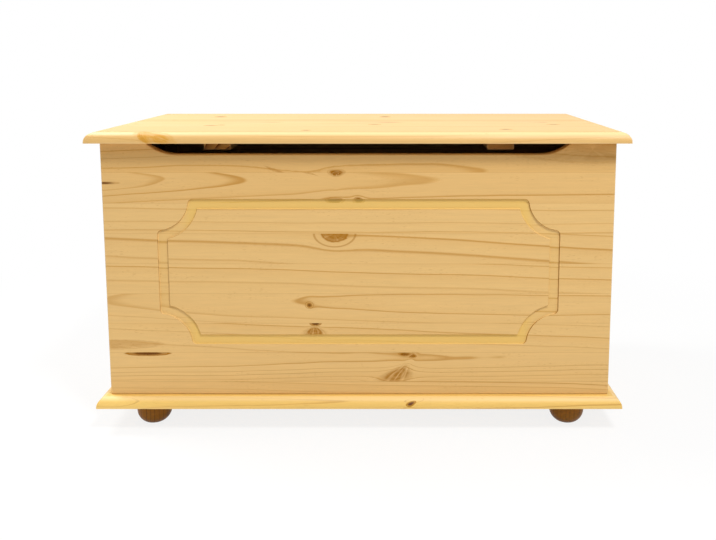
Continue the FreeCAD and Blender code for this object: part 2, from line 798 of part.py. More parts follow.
# Bracket on the lid that the arm hangs from, and the rivet through both
bracket = new_body("stay_bracket_blank")
ear = sketch_on(bracket, "stay_bracket_ear", "YZ_Plane")
outline(
    ear,
    (f"-{arm_half}", "0"),
    (arm_half, "0", "0", "0", "left"),
    (arm_half, bracket_rise),
    (f"-{arm_half}", bracket_rise),
)
ring(ear, "0", "0", "dims.stay_rivet_diameter + 2 * dims.turning_fit")
pad(bracket, ear, "dims.stay_thickness")
flange = sketch_on(bracket, "stay_bracket_flange", "XY_Plane", bracket_rise)
rectangle(
    flange,
    "0",
    "(dims.stay_thickness + dims.stay_bracket_reach)",
    "(-dims.stay_bracket_length / 2)",
    "(dims.stay_bracket_length / 2)",
)
pad(bracket, flange, "dims.stay_thickness", reverse=True)
place(bracket, bracket_face, pivot_y, pivot_z)
cut("stay_bracket", bracket, [stay_lid_holes])

rivet = new_body("stay_rivet")
rivet_profile = sketch_on(rivet, "stay_rivet_profile", "XY_Plane")
rivet_stack = "(2 * dims.stay_thickness + dims.stay_play)"
rivet_shank = "(dims.stay_rivet_diameter / 2)"
rivet_head = "(dims.stay_rivet_head / 2)"
outline(
    rivet_profile,
    ("-(dims.stay_play + dims.stay_head_height)", "0"),
    (f"{rivet_stack} + dims.stay_head_height", "0"),
    (f"{rivet_stack} + dims.stay_head_height", rivet_head),
    (rivet_stack, rivet_head),
    (rivet_stack, rivet_shank),
    ("-dims.stay_play", rivet_shank),
    ("-dims.stay_play", rivet_head),
    ("-(dims.stay_play + dims.stay_head_height)", rivet_head),
)
revolve(rivet, rivet_profile, "H_Axis")
place(rivet, arm_face, pivot_y, pivot_z)

# Plate on the left wall and the shouldered stud that the slot slides over
plate = new_body("stay_plate_blank")
plate_outline = sketch_on(plate, "stay_plate_outline", "YZ_Plane")
plate_straight = "(dims.stay_plate_length / 2 - dims.stay_width / 2)"
outline(
    plate_outline,
    (arm_half, plate_straight),
    (f"-{arm_half}", plate_straight, "0", plate_straight, "left"),
    (f"-{arm_half}", f"-{plate_straight}"),
    (arm_half, f"-{plate_straight}", "0", f"-{plate_straight}", "left"),
)
stud_tail = "dims.stay_rivet_diameter"
ring(plate_outline, "0", "0", f"{stud_tail} + 2 * dims.turning_fit")
pad(plate, plate_outline, "dims.stay_thickness")
place(plate, f"-{INNER_SIDE}", stud_y, stud_z)
cut("stay_wall_plate", plate, [stay_wall_holes])

stud = new_body("stay_stud")
stud_profile = sketch_on(stud, "stay_stud_profile", "XY_Plane")
shoulder_end = "(dims.stay_wall_gap - dims.stay_play)"
neck_end = "(dims.stay_wall_gap + dims.stay_thickness + dims.stay_play)"
stud_head = "(dims.stay_stud_head / 2)"
stud_neck = "(dims.stay_stud_diameter / 2)"
outline(
    stud_profile,
    ("0", "0"),
    (f"{neck_end} + dims.stay_head_height", "0"),
    (f"{neck_end} + dims.stay_head_height", stud_head),
    (neck_end, stud_head),
    (neck_end, stud_neck),
    (shoulder_end, stud_neck),
    (shoulder_end, stud_head),
    ("dims.stay_thickness", stud_head),
    ("dims.stay_thickness", f"{stud_tail} / 2"),
    ("0", f"{stud_tail} / 2"),
)
revolve(stud, stud_profile, "H_Axis")
place(stud, f"-{INNER_SIDE}", stud_y, stud_z)

NODES = [
    "base_board",
    "front_panel",
    "back_panel",
    "left_panel",
    "right_panel",
    "corner_dowels",
    "base_screws",
    "lid_panel",
    "lid_batten_left",
    "lid_batten_right",
    "batten_screws",
    "foot_front_left",
    "foot_front_right",
    "foot_back_left",
    "foot_back_right",
    "foot_bolts",
    "foot_inserts",
    "hinge_left_wall_leaf",
    "hinge_left_lid_leaf",
    "hinge_left_pin",
    "hinge_right_wall_leaf",
    "hinge_right_lid_leaf",
    "hinge_right_pin",
    "hinge_wall_screws",
    "hinge_lid_screws",
    "stay_arm",
    "stay_bracket",
    "stay_rivet",
    "stay_wall_plate",
    "stay_stud",
    "stay_lid_screws",
    "stay_wall_screws",
]

doc.recompute()
for item in doc.Objects:
    if "Invalid" in item.State or "Error" in item.State:
        raise RuntimeError(f"{item.Name} failed: {item.State}")
pieces = {label: doc.getObjectsByLabel(label)[0] for label in NODES}
for label, item in pieces.items():
    if item.Shape.isNull() or not item.Shape.isValid() or not item.Shape.Solids:
        raise RuntimeError(f"{label} has no sound shape")
os.makedirs("parts", exist_ok=True)
for label, item in pieces.items():
    item.Shape.exportStep(f"parts/{label}.step")
print(f"{len(pieces)} pieces, {sum(len(item.Shape.Solids) for item in pieces.values())} solids")
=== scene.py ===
"""Looks of a blanket chest of edge-glued pine: finishes, screws, light and camera."""

import json
import logging
import math
from collections.abc import Iterable, Iterator, Sequence
from dataclasses import asdict, dataclass, fields
from enum import Enum
from typing import Union

import bmesh
import bpy
from bmesh.types import BMesh, BMVert
from bpy.types import ID, Material, Node, NodeSocket, NodeTree, Object
from mathutils import Matrix, Vector


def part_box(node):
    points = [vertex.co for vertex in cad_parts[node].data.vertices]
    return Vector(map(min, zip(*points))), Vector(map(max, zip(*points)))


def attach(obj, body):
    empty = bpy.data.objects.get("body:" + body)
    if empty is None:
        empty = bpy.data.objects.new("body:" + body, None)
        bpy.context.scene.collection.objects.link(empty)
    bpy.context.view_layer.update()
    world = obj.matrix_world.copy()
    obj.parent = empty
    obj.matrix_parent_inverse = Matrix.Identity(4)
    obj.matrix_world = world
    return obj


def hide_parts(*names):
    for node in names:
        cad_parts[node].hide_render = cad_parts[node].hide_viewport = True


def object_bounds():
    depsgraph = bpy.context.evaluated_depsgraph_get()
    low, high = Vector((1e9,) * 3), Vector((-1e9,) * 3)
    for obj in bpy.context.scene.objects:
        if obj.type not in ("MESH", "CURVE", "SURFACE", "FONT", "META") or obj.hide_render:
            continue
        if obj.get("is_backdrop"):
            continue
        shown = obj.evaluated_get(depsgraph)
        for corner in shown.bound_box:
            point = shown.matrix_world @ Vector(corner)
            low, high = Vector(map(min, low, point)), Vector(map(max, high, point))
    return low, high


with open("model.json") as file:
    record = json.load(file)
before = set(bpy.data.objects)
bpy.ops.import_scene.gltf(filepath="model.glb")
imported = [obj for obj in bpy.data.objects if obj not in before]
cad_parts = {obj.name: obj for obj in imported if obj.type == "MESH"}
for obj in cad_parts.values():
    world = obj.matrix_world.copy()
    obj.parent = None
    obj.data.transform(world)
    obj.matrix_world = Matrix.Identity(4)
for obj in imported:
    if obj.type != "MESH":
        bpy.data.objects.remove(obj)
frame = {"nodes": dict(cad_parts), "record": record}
CAD_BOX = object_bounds()

LOG = logging.getLogger("blanket_chest")
MILLIMETRE = 0.001
IMAGE_WIDTH, IMAGE_HEIGHT = 716, 540
STAVE_WIDTH = 52.1

Colour = tuple[float, float, float, float]
Feed = Union["Value", NodeSocket, float, Sequence[float]]
Layer = tuple[Feed, Colour]


def srgb(red: int, green: int, blue: int) -> Colour:
    """Colour as a screen shows it, turned into the linear values of a shader.

    Args:
        red: Red from 0 to 255.
        green: Green from 0 to 255.
        blue: Blue from 0 to 255.

    Returns:
        Linear red, green, blue and an alpha of one.
    """
    knee, slope, lift, power = 0.04045, 12.92, 0.055, 2.4
    shares = (channel / 255 for channel in (red, green, blue))
    linear = (
        share / slope if share <= knee else ((share + lift) / (1 + lift)) ** power for share in shares
    )
    return (*linear, 1.0)


class Blend(Enum):
    """Ways of laying one colour over another."""

    MIX = "MIX"
    MULTIPLY = "MULTIPLY"


@dataclass(frozen=True, eq=False)
class Value:
    """Number or colour in a shader tree; each sum with it is a node of the same tree."""

    graph: "Graph"
    socket: NodeSocket

    def __add__(self, other: Feed) -> "Value":
        """This and another together."""
        return self.graph.math("ADD", self, other)

    def __sub__(self, other: Feed) -> "Value":
        """This less another."""
        return self.graph.math("SUBTRACT", self, other)

    def __mul__(self, other: Feed) -> "Value":
        """This times another."""
        return self.graph.math("MULTIPLY", self, other)

    def __truediv__(self, other: Feed) -> "Value":
        """This divided by another."""
        return self.graph.math("DIVIDE", self, other)

    def __pow__(self, power: float) -> "Value":
        """This to a power."""
        return self.graph.math("POWER", self, power)

    def __abs__(self) -> "Value":
        """This without its sign."""
        return self.graph.math("ABSOLUTE", self)

    def most(self, other: Feed) -> "Value":
        """The larger of this and another."""
        return self.graph.math("MAXIMUM", self, other)

    def least(self, other: Feed) -> "Value":
        """The smaller of this and another."""
        return self.graph.math("MINIMUM", self, other)

    def scale(self, low: float, high: float) -> "Value":
        """Number from low to high as this share goes from nought to one."""
        return self.graph.math("MULTIPLY_ADD", self, high - low, low)

    def step(self, start: Feed, end: Feed) -> "Value":
        """Smooth rise from nought where this is at start to one where it is at end."""
        return self.graph.step(self, start, end)


class Graph:
    """Places nodes in one shader tree and wires them."""

    def __init__(self, tree: NodeTree) -> None:
        """Work in the given tree."""
        self.tree = tree

    def node(self, kind: str, **settings: object) -> Node:
        """Place a node.

        Args:
            kind: Type of the node.
            settings: Properties to set on it.

        Returns:
            The new node.
        """
        node = self.tree.nodes.new(kind)
        for name, value in settings.items():
            setattr(node, name, value)
        return node

    def feed(self, socket: NodeSocket, value: Feed) -> None:
        """Give an input a link or a plain value.

        Args:
            socket: Input to fill.
            value: Output to link from, or the value itself.
        """
        source = value.socket if isinstance(value, Value) else value
        if isinstance(source, NodeSocket):
            self.tree.links.new(source, socket)
        else:
            socket.default_value = source

    def fill(self, node: Node, *values: Feed) -> Node:
        """Feed a node's inputs in their order.

        Args:
            node: Node to fill.
            values: What goes into its first inputs.

        Returns:
            The same node.
        """
        for socket, value in zip(node.inputs, values):
            self.feed(socket, value)
        return node

    def results(self, node: Node) -> dict[str, Value]:
        """Outputs of a node by name."""
        return {socket.name: Value(self, socket) for socket in node.outputs}

    def math(self, operation: str, *values: Feed) -> Value:
        """Work out one number from its operands, by the name of the sum."""
        node = self.fill(self.node("ShaderNodeMath", operation=operation), *values)
        return Value(self, node.outputs[0])

    def hypot(self, first: Value, second: Value) -> Value:
        """Distance of a place that has the given two coordinates."""
        return self.math("SQRT", first**2.0 + second**2.0)

    def step(self, value: Feed, start: Feed, end: Feed) -> Value:
        """Smooth rise from nought where a value is at start to one where it is at end."""
        node = self.node("ShaderNodeMapRange", interpolation_type="SMOOTHSTEP")
        return Value(self, self.fill(node, value, start, end).outputs[0])

    def lay(self, share: Feed, under: Feed, over: Feed, way: Blend = Blend.MIX) -> Value:
        """Lay one colour over another.

        Args:
            share: How much of the upper colour shows.
            under: Lower colour.
            over: Upper colour.
            way: How they are combined.

        Returns:
            The new colour.
        """
        node = self.node("ShaderNodeMix", data_type="RGBA", blend_type=way.value)
        factor, lower, upper, result = 0, 6, 7, 2
        for index, value in zip((factor, lower, upper), (share, under, over)):
            self.feed(node.inputs[index], value)
        return Value(self, node.outputs[result])

    def join(self, *values: Feed) -> Value:
        """Vector of three numbers."""
        return Value(self, self.fill(self.node("ShaderNodeCombineXYZ"), *values).outputs[0])

    def split(self, vector: Feed) -> list[Value]:
        """Three numbers of a vector."""
        return list(self.results(self.fill(self.node("ShaderNodeSeparateXYZ"), vector)).values())

    def noise(
        self, place: Sequence[Feed], sizes: Sequence[float] = (1.0, 1.0, 1.0), detail: float = 2.0
    ) -> Value:
        """Soft random value about a half.

        Args:
            place: Three coordinates.
            sizes: Size of one feature along each of them.
            detail: How many times finer features are added.

        Returns:
            The value.
        """
        node = self.node("ShaderNodeTexNoise", noise_dimensions="3D")
        vector = self.join(*(self.math("DIVIDE", value, size) for value, size in zip(place, sizes)))
        self.feed(node.inputs["Vector"], vector)
        self.feed(node.inputs["Scale"], 1.0)
        self.feed(node.inputs["Detail"], detail)
        return Value(self, node.outputs[0])

    def draw(self, *values: Feed) -> list[Value]:
        """Three random shares that are fixed by three numbers."""
        node = self.node("ShaderNodeTexWhiteNoise", noise_dimensions="3D")
        return self.split(self.fill(node, self.join(*values)).outputs["Color"])

    def use(self, effect: NodeTree, **values: Feed) -> dict[str, Value]:
        """Place an effect in this tree.

        Args:
            effect: Node group of the effect.
            values: What goes into its named inputs.

        Returns:
            Its named outputs.
        """
        node = self.node("ShaderNodeGroup", node_tree=effect)
        for name, value in values.items():
            self.feed(node.inputs[name], value)
        return self.results(node)


class Effect(Graph):
    """Shader node group with named inputs and outputs."""

    def __init__(self, name: str, inputs: Sequence[str], **usual: float) -> None:
        """Make a group without outputs.

        Args:
            name: Name of the group.
            inputs: Names of its inputs, each nought where nothing is fed to it.
            usual: More inputs, each with its usual value.
        """
        super().__init__(bpy.data.node_groups.new(name, "ShaderNodeTree"))
        for title, value in (dict.fromkeys(inputs, 0.0) | usual).items():
            port = self.tree.interface.new_socket(title, in_out="INPUT", socket_type="NodeSocketFloat")
            port.default_value = value
        self.given = self.results(self.node("NodeGroupInput"))

    def give(self, **results: Feed) -> NodeTree:
        """Wire the results and hand out the finished group.

        Args:
            results: Value of each output, under its name.

        Returns:
            The node group.
        """
        for title in results:
            self.tree.interface.new_socket(title, in_out="OUTPUT", socket_type="NodeSocketFloat")
        self.fill(self.node("NodeGroupOutput"), *results.values())
        return self.tree


@dataclass(frozen=True)
class Stave:
    """How one stave was sawn from its log, in millimetres, with slopes per hundred millimetres of length.

    The pith lies to one side of the stave's middle and behind its face. It drifts away from the face,
    bows and sways across the stave along the grain. The gap is the width of a year's growth.
    """

    pith_across: float
    pith_depth: float
    drift: float
    bow: float
    sway: float
    gap: float
    tone: float
    warmth: float


CUT_RANGES: dict[str, tuple[float, float]] = {
    "pith_across": (-100.0, 100.0),
    "pith_depth": (20.0, 100.0),
    "drift": (-4.0, 4.0),
    "bow": (-0.8, 0.8),
    "sway": (-5.0, 5.0),
    "gap": (5.0, 20.0),
    "tone": (0.0, 1.0),
    "warmth": (0.0, 1.0),
}


def share_of(name: str, value: float) -> float:
    """Where a value of a stave's cut lies in its range, from nought to one."""
    low, high = CUT_RANGES[name]
    return (value - low) / (high - low)


@dataclass(frozen=True)
class Knot:
    """One branch mark: its middle along and across the grain, half its length and width, in millimetres.

    Its own stave keeps it between two glue lines. The lean slants it, the flare widens it to one side, and
    the flow is how far round it the grain bends. Body is brown wood, resin is dark pitch and halo is a thin
    ring round the knot, each from nought to one.
    """

    middle_along: float
    middle_across: float
    length: float
    width: float
    own_stave: int
    lean: float = 0.0
    flare: float = 0.0
    flow: float = 2.2
    body: float = 0.8
    resin: float = 0.0
    halo: float = 0.0


class Effects:
    """Shader node groups that several finishes share, each built once."""

    def __init__(self) -> None:
        """Build every group."""
        self.knot = self._knot()
        self.scattered_knots = self._scattered_knots()
        self.stave_layout = self._stave_layout()
        self.stave_draw = self._stave_draw()
        self.growth_rings = self._growth_rings()
        self.fibre = self._fibre()
        self.edge_wear = self._edge_wear()
        self.handling = self._handling()

    @staticmethod
    def _knot() -> NodeTree:
        """Knot that turns the grain aside; takes and gives the marks that are there already.

        Returns:
            The node group.
        """
        sizes = (item.name for item in fields(Knot))
        effect = Effect("knot", ("along", "across", "stave", "knot", "pitch", *sizes))
        given = effect.given
        rings_per_radius, halo_radius, narrowest = 14.0, 1.75, 0.2
        beside = given["across"] - given["middle_across"]
        slanted = given["along"] - given["middle_along"] - beside * given["lean"]
        far_across = beside / given["width"]
        spread = (far_across * given["flare"] + 1.0).most(narrowest)
        far_along = slanted / (given["length"] * spread)
        clean = effect.hypot(far_along, far_across)
        rough = effect.noise((given["along"], given["across"], 0.0), (9.0, 4.0, 1.0))
        reach = clean + rough.scale(-0.15, 0.15)
        own = effect.math("COMPARE", given["stave"], given["own_stave"], 0.5)
        pull = effect.math("EXPONENT", (reach / given["flow"]) ** 2.0 * -1.0) * own
        torn = (abs(given["flare"]) * 2.5).least(1.0)
        angle = effect.math("ARCTAN2", far_across, far_along)
        streak = (far_along - angle) * torn + angle
        rays = effect.noise((streak, clean, given["middle_along"]), (0.22, 1.6, 1.0), 1.0)
        rays = ((rays - 0.5) * torn.scale(1.7, 4.0) + 0.95).most(0.0).least(1.0)
        rings = effect.math("SINE", reach * rings_per_radius).scale(0.88, 1.0)
        body = reach.step(torn.scale(1.08, 1.25), torn.scale(0.9, 0.4)) * rings * rays
        rim = reach.step(1.24, 1.06) * torn.scale(1.0, 0.0) * reach.step(0.86, 1.02)
        halo = abs(clean - halo_radius).step(0.14, 0.04) * given["halo"]
        brown = (body.most(rim) * given["body"]).most(halo)
        heart = reach.step(1.0, 0.35) * given["resin"]
        return effect.give(
            across=given["across"] - beside * pull,
            knot=given["knot"].most(brown * own),
            pitch=given["pitch"].most(heart * own),
        )

    def _scattered_knots(self) -> NodeTree:
        """At most one random knot in each length of each stave.

        Returns:
            The node group.
        """
        inputs = ("along", "across", "local", "stave", "seed", "share")
        effect = Effect("scattered_knots", inputs, spacing=260.0)
        given = effect.given
        rows_per_seed = 37.0
        cell = effect.math("FLOOR", given["along"] / given["spacing"])
        row = given["stave"] + given["seed"] * rows_per_seed
        place, offset, chance = effect.draw(cell, row, 0.5)
        size, shape, darkness = effect.draw(cell, row, 1.5)
        width = (size**2.0).scale(1.6, 9.0)
        made = effect.use(
            self.knot,
            along=given["along"],
            across=given["across"],
            stave=given["stave"],
            own_stave=given["stave"] + effect.math("GREATER_THAN", chance, given["share"]),
            middle_along=(cell + place.scale(0.2, 0.8)) * given["spacing"],
            middle_across=given["across"] - given["local"] + offset.scale(-17.0, 17.0),
            length=width * shape.scale(1.1, 2.4),
            width=width,
            flow=2.4,
            body=0.75,
            resin=darkness.step(0.45, 1.0),
        )
        return effect.give(**made)

    @staticmethod
    def _stave_layout() -> NodeTree:
        """Which stave a place is in, how far from its middle, and the glue line between two staves.

        Returns:
            The node group.
        """
        effect = Effect("stave_layout", ("across", "stave_width", "shift"), line_width=0.5)
        given = effect.given
        run = (given["across"] - given["shift"]) / given["stave_width"]
        stave = effect.math("FLOOR", run)
        local = (run - stave - 0.5) * given["stave_width"]
        to_edge = given["stave_width"] * 0.5 - abs(local)
        return effect.give(stave=stave, local=local, joint=to_edge.step(given["line_width"], 0.0))

    @staticmethod
    def _stave_draw() -> NodeTree:
        """Random cut of each stave, within what a sawmill gives.

        Returns:
            The node group.
        """
        effect = Effect("stave_draw", ("stave", "seed"))
        shares: list[Value] = []
        for number in range(3):
            shares += effect.draw(effect.given["stave"], effect.given["seed"], number + 0.5)
        drawn = zip(CUT_RANGES.items(), shares)
        return effect.give(**{name: share.scale(*limits) for (name, limits), share in drawn})

    @staticmethod
    def _growth_rings() -> NodeTree:
        """Year rings of a log cut by the board's faces: dark latewood lines and broad warmer bands.

        Returns:
            The node group.
        """
        cut = (name for name in CUT_RANGES if name != "tone")
        effect = Effect("growth_rings", ("along", "across", "depth", "seed", *cut))
        given = effect.given
        depth_per_seed, slope_length, line_width = 61.7, 100.0, 0.6
        length = given["along"] / slope_length
        place = (given["along"], given["across"], given["depth"] + given["seed"] * depth_per_seed)
        slow = effect.noise(place, (260.0, 90.0, 90.0), 0.6)
        quick = effect.noise(place, (90.0, 40.0, 60.0), 1.0)
        aside = given["across"] - given["pith_across"] - given["sway"] * length + slow.scale(-4.5, 4.5)
        behind = given["pith_depth"] + given["drift"] * length + given["bow"] * length**2.0
        behind = behind + given["depth"] + quick.scale(-0.9, 0.9)
        year = effect.hypot(aside, behind) / given["gap"]
        uneven = effect.noise((year * 0.7, given["seed"], 0.0), detail=1.0)
        year = year + uneven.scale(-0.7, 0.7)
        count = effect.math("FLOOR", year)
        share = year - count
        strong, wide, warm = effect.draw(count, given["seed"], 0.5)
        start = wide.scale(0.86, 0.93) - effect.math("DIVIDE", line_width, given["gap"])
        late = share.step(start, 0.95) * share.step(1.0, 0.955) * strong.scale(0.35, 1.0)
        band = effect.noise((year * 0.33, given["seed"], 4.0), detail=1.0)
        band = band.step(given["warmth"].scale(0.74, 0.46), 0.78)
        dense = share**2.0
        return effect.give(late=late, band=band, dense=dense, ring=dense * warm)

    @staticmethod
    def _fibre() -> NodeTree:
        """Fine streaks of the wood fibre and the short dark dashes of its resin canals.

        Returns:
            The node group.
        """
        effect = Effect("fibre", ("along", "across", "depth"))
        place = [effect.given[name] for name in ("along", "across", "depth")]
        fine = effect.noise(place, (34.0, 0.8, 0.8), 3.0)
        broad = effect.noise(place, (150.0, 5.0, 5.0), 2.0)
        dashes = effect.noise(place, (9.0, 0.6, 0.6), 0.0)
        patches = effect.noise(place, (120.0, 24.0, 24.0), 1.0)
        dash = dashes.step(0.7, 0.8) * patches.step(0.45, 0.65)
        return effect.give(streak=fine * 0.6 + broad * 0.4, dash=dash)

    @staticmethod
    def _edge_wear() -> NodeTree:
        """Rubbed arrises of a board, from how close a place is to two of the board's faces.

        Returns:
            The node group.
        """
        faces = (f"{corner}_{axis}" for corner in ("low", "high") for axis in "xyz")
        effect = Effect("edge_wear", (*"xyz", *faces), reach=3.0)
        given = effect.given
        first, second, third = (
            (given[axis] - given[f"low_{axis}"]).least(given[f"high_{axis}"] - given[axis]) for axis in "xyz"
        )
        edge = first.least(second).most(first.most(second).least(third))
        rough = effect.noise([given[axis] for axis in "xyz"], (26.0, 26.0, 26.0), 4.0)
        return effect.give(wear=edge.step(given["reach"] * rough.scale(0.2, 1.8), 0.0))

    @staticmethod
    def _handling() -> NodeTree:
        """Uneven sheen of a handled surface: broad smears and fine scuffs, in millimetres.

        Returns:
            The node group.
        """
        effect = Effect("handling", "xyz")
        place = [effect.given[axis] for axis in "xyz"]
        smear = effect.noise(place, (90.0, 90.0, 90.0), 3.0)
        scuff = effect.noise(place, (3.0, 3.0, 3.0), 4.0)
        return effect.give(smear=smear, scuff=scuff)


class Grain(Enum):
    """Which of the axes X, Y and Z runs along the grain, across the staves and through the board."""

    ACROSS_UPRIGHT_FRONT = (0, 2, 1)
    ACROSS_UPRIGHT_SIDE = (1, 2, 0)
    ACROSS_LYING = (0, 1, 2)
    ENDWISE_LYING = (1, 0, 2)
    UPRIGHT = (2, 0, 1)


class Face(Enum):
    """Which end of the depth axis a board's outer face is at."""

    LOW = 0
    HIGH = 1


class Paint(Graph):
    """Tree of a new material with its Principled shader and the place of the shaded point."""

    def __init__(self, name: str) -> None:
        """Make a plain material.

        Args:
            name: Name of the material.
        """
        self.material = bpy.data.materials.new(name)
        self.material.use_nodes = True
        super().__init__(self.material.node_tree)
        self.shader = self.tree.nodes["Principled BSDF"]
        self.spot = self._places()

    def set(self, name: str, value: Feed) -> None:
        """Feed one of the shader's inputs."""
        self.feed(self.shader.inputs[name], value)

    def _places(self) -> list[Value]:
        """Coordinates of the shaded point in the part's own frame, in millimetres."""
        spot = self.node("ShaderNodeTexCoord").outputs["Object"]
        return [value * (1 / MILLIMETRE) for value in self.split(spot)]

    def handled(self, effects: Effects) -> dict[str, Value]:
        """Smears and scuffs of handling."""
        return self.use(effects.handling, **dict(zip("xyz", self.spot)))

    def emboss(self, height: Value, depth: float) -> None:
        """Raise the surface by a height.

        Args:
            height: Height as a share.
            depth: Height of a full share, in millimetres.
        """
        bump = self.node("ShaderNodeBump")
        bump.inputs["Strength"].default_value = 1.0
        bump.inputs["Distance"].default_value = depth * MILLIMETRE
        self.feed(bump.inputs["Height"], height)
        self.set("Normal", bump.outputs["Normal"])


@dataclass(frozen=True)
class Board:
    """A piece of pine: its node, the way its grain runs, and how its staves are laid out.

    The groove run is half the length, in millimetres, of the groove that follows the grain, where
    lacquer pools.
    """

    node: str
    grain: Grain
    outside: Face
    seed: float
    stave_width: float = STAVE_WIDTH
    shift: float = 0.0
    staves: tuple[Stave, ...] = ()
    knots: tuple[Knot, ...] = ()
    scatter: float = 0.3
    groove_run: float = 0.0


class Timber(Paint):
    """Tree of one board's material, with the board's places, staves, knots, cut and worn edges."""

    def __init__(self, board: Board, effects: Effects) -> None:
        """Find where in the board the shaded point lies, in millimetres.

        Args:
            board: The board.
            effects: Shared node groups.
        """
        super().__init__(f"pine_{board.node}")
        self.board = board
        self.effects = effects
        self.along, self.across, inward = (self.spot[axis] for axis in board.grain.value)
        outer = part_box(board.node)[board.outside.value][board.grain.value[2]] / MILLIMETRE
        self.depth = abs(inward - outer)
        self.layout = self.use(
            effects.stave_layout, across=self.across, stave_width=board.stave_width, shift=board.shift
        )
        normal = self.split(self.node("ShaderNodeTexCoord").outputs["Normal"])
        self.facing = [normal[axis] for axis in board.grain.value]

    def marks(self, branch_bend: float) -> dict[str, Value]:
        """Knots of the board, which run inwards along their branches.

        Args:
            branch_bend: How much a branch bends along the grain.

        Returns:
            The place across the bent grain, and the masks of brown and dark marks.
        """
        along = self.math("MULTIPLY_ADD", self.depth**2.0, -branch_bend, self.along)
        stave = self.layout["stave"]
        marks = self.use(
            self.effects.scattered_knots,
            along=along,
            across=self.across - self.depth,
            local=self.layout["local"],
            stave=stave,
            seed=self.board.seed,
            share=self.board.scatter,
        )
        for knot in self.board.knots:
            marks = self.use(self.effects.knot, along=along, stave=stave, **marks, **asdict(knot))
        return marks

    def cut(self) -> dict[str, Feed]:
        """How the board's staves were sawn, at random where the board lists none.

        Returns:
            The values of the cut, by name.
        """
        stave, staves = self.layout["stave"], self.board.staves
        if not staves:
            return self.use(self.effects.stave_draw, stave=stave, seed=self.board.seed)
        if len(staves) == 1:
            return asdict(staves[0])
        total = len(staves)
        names = list(CUT_RANGES)
        cut: dict[str, Feed] = {}
        for four in (names[:4], names[4:]):
            chart = self.fill(self.node("ShaderNodeValToRGB"), (stave + 0.5) / total)
            chart.color_ramp.interpolation = "CONSTANT"
            stops = chart.color_ramp.elements
            stops[-1].position = (total - 1) / total
            for number in range(1, total - 1):
                stops.new(number / total)
            for stop, item in zip(stops, staves):
                stop.color = [share_of(name, getattr(item, name)) for name in four]
            parts = self.fill(self.node("ShaderNodeSeparateColor"), chart.outputs["Color"])
            for name, socket in zip(four, (*parts.outputs, chart.outputs["Alpha"])):
                cut[name] = Value(self, socket).scale(*CUT_RANGES[name])
        return cut

    def wear(self) -> Value:
        """How much the board's arrises are worn.

        Returns:
            The share of rubbed wood.
        """
        values: dict[str, Feed] = dict(zip("xyz", self.spot))
        for corner, place in zip(("low", "high"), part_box(self.board.node)):
            values |= {f"{corner}_{axis}": length / MILLIMETRE for axis, length in zip("xyz", place)}
        return self.use(self.effects.edge_wear, **values)["wear"]


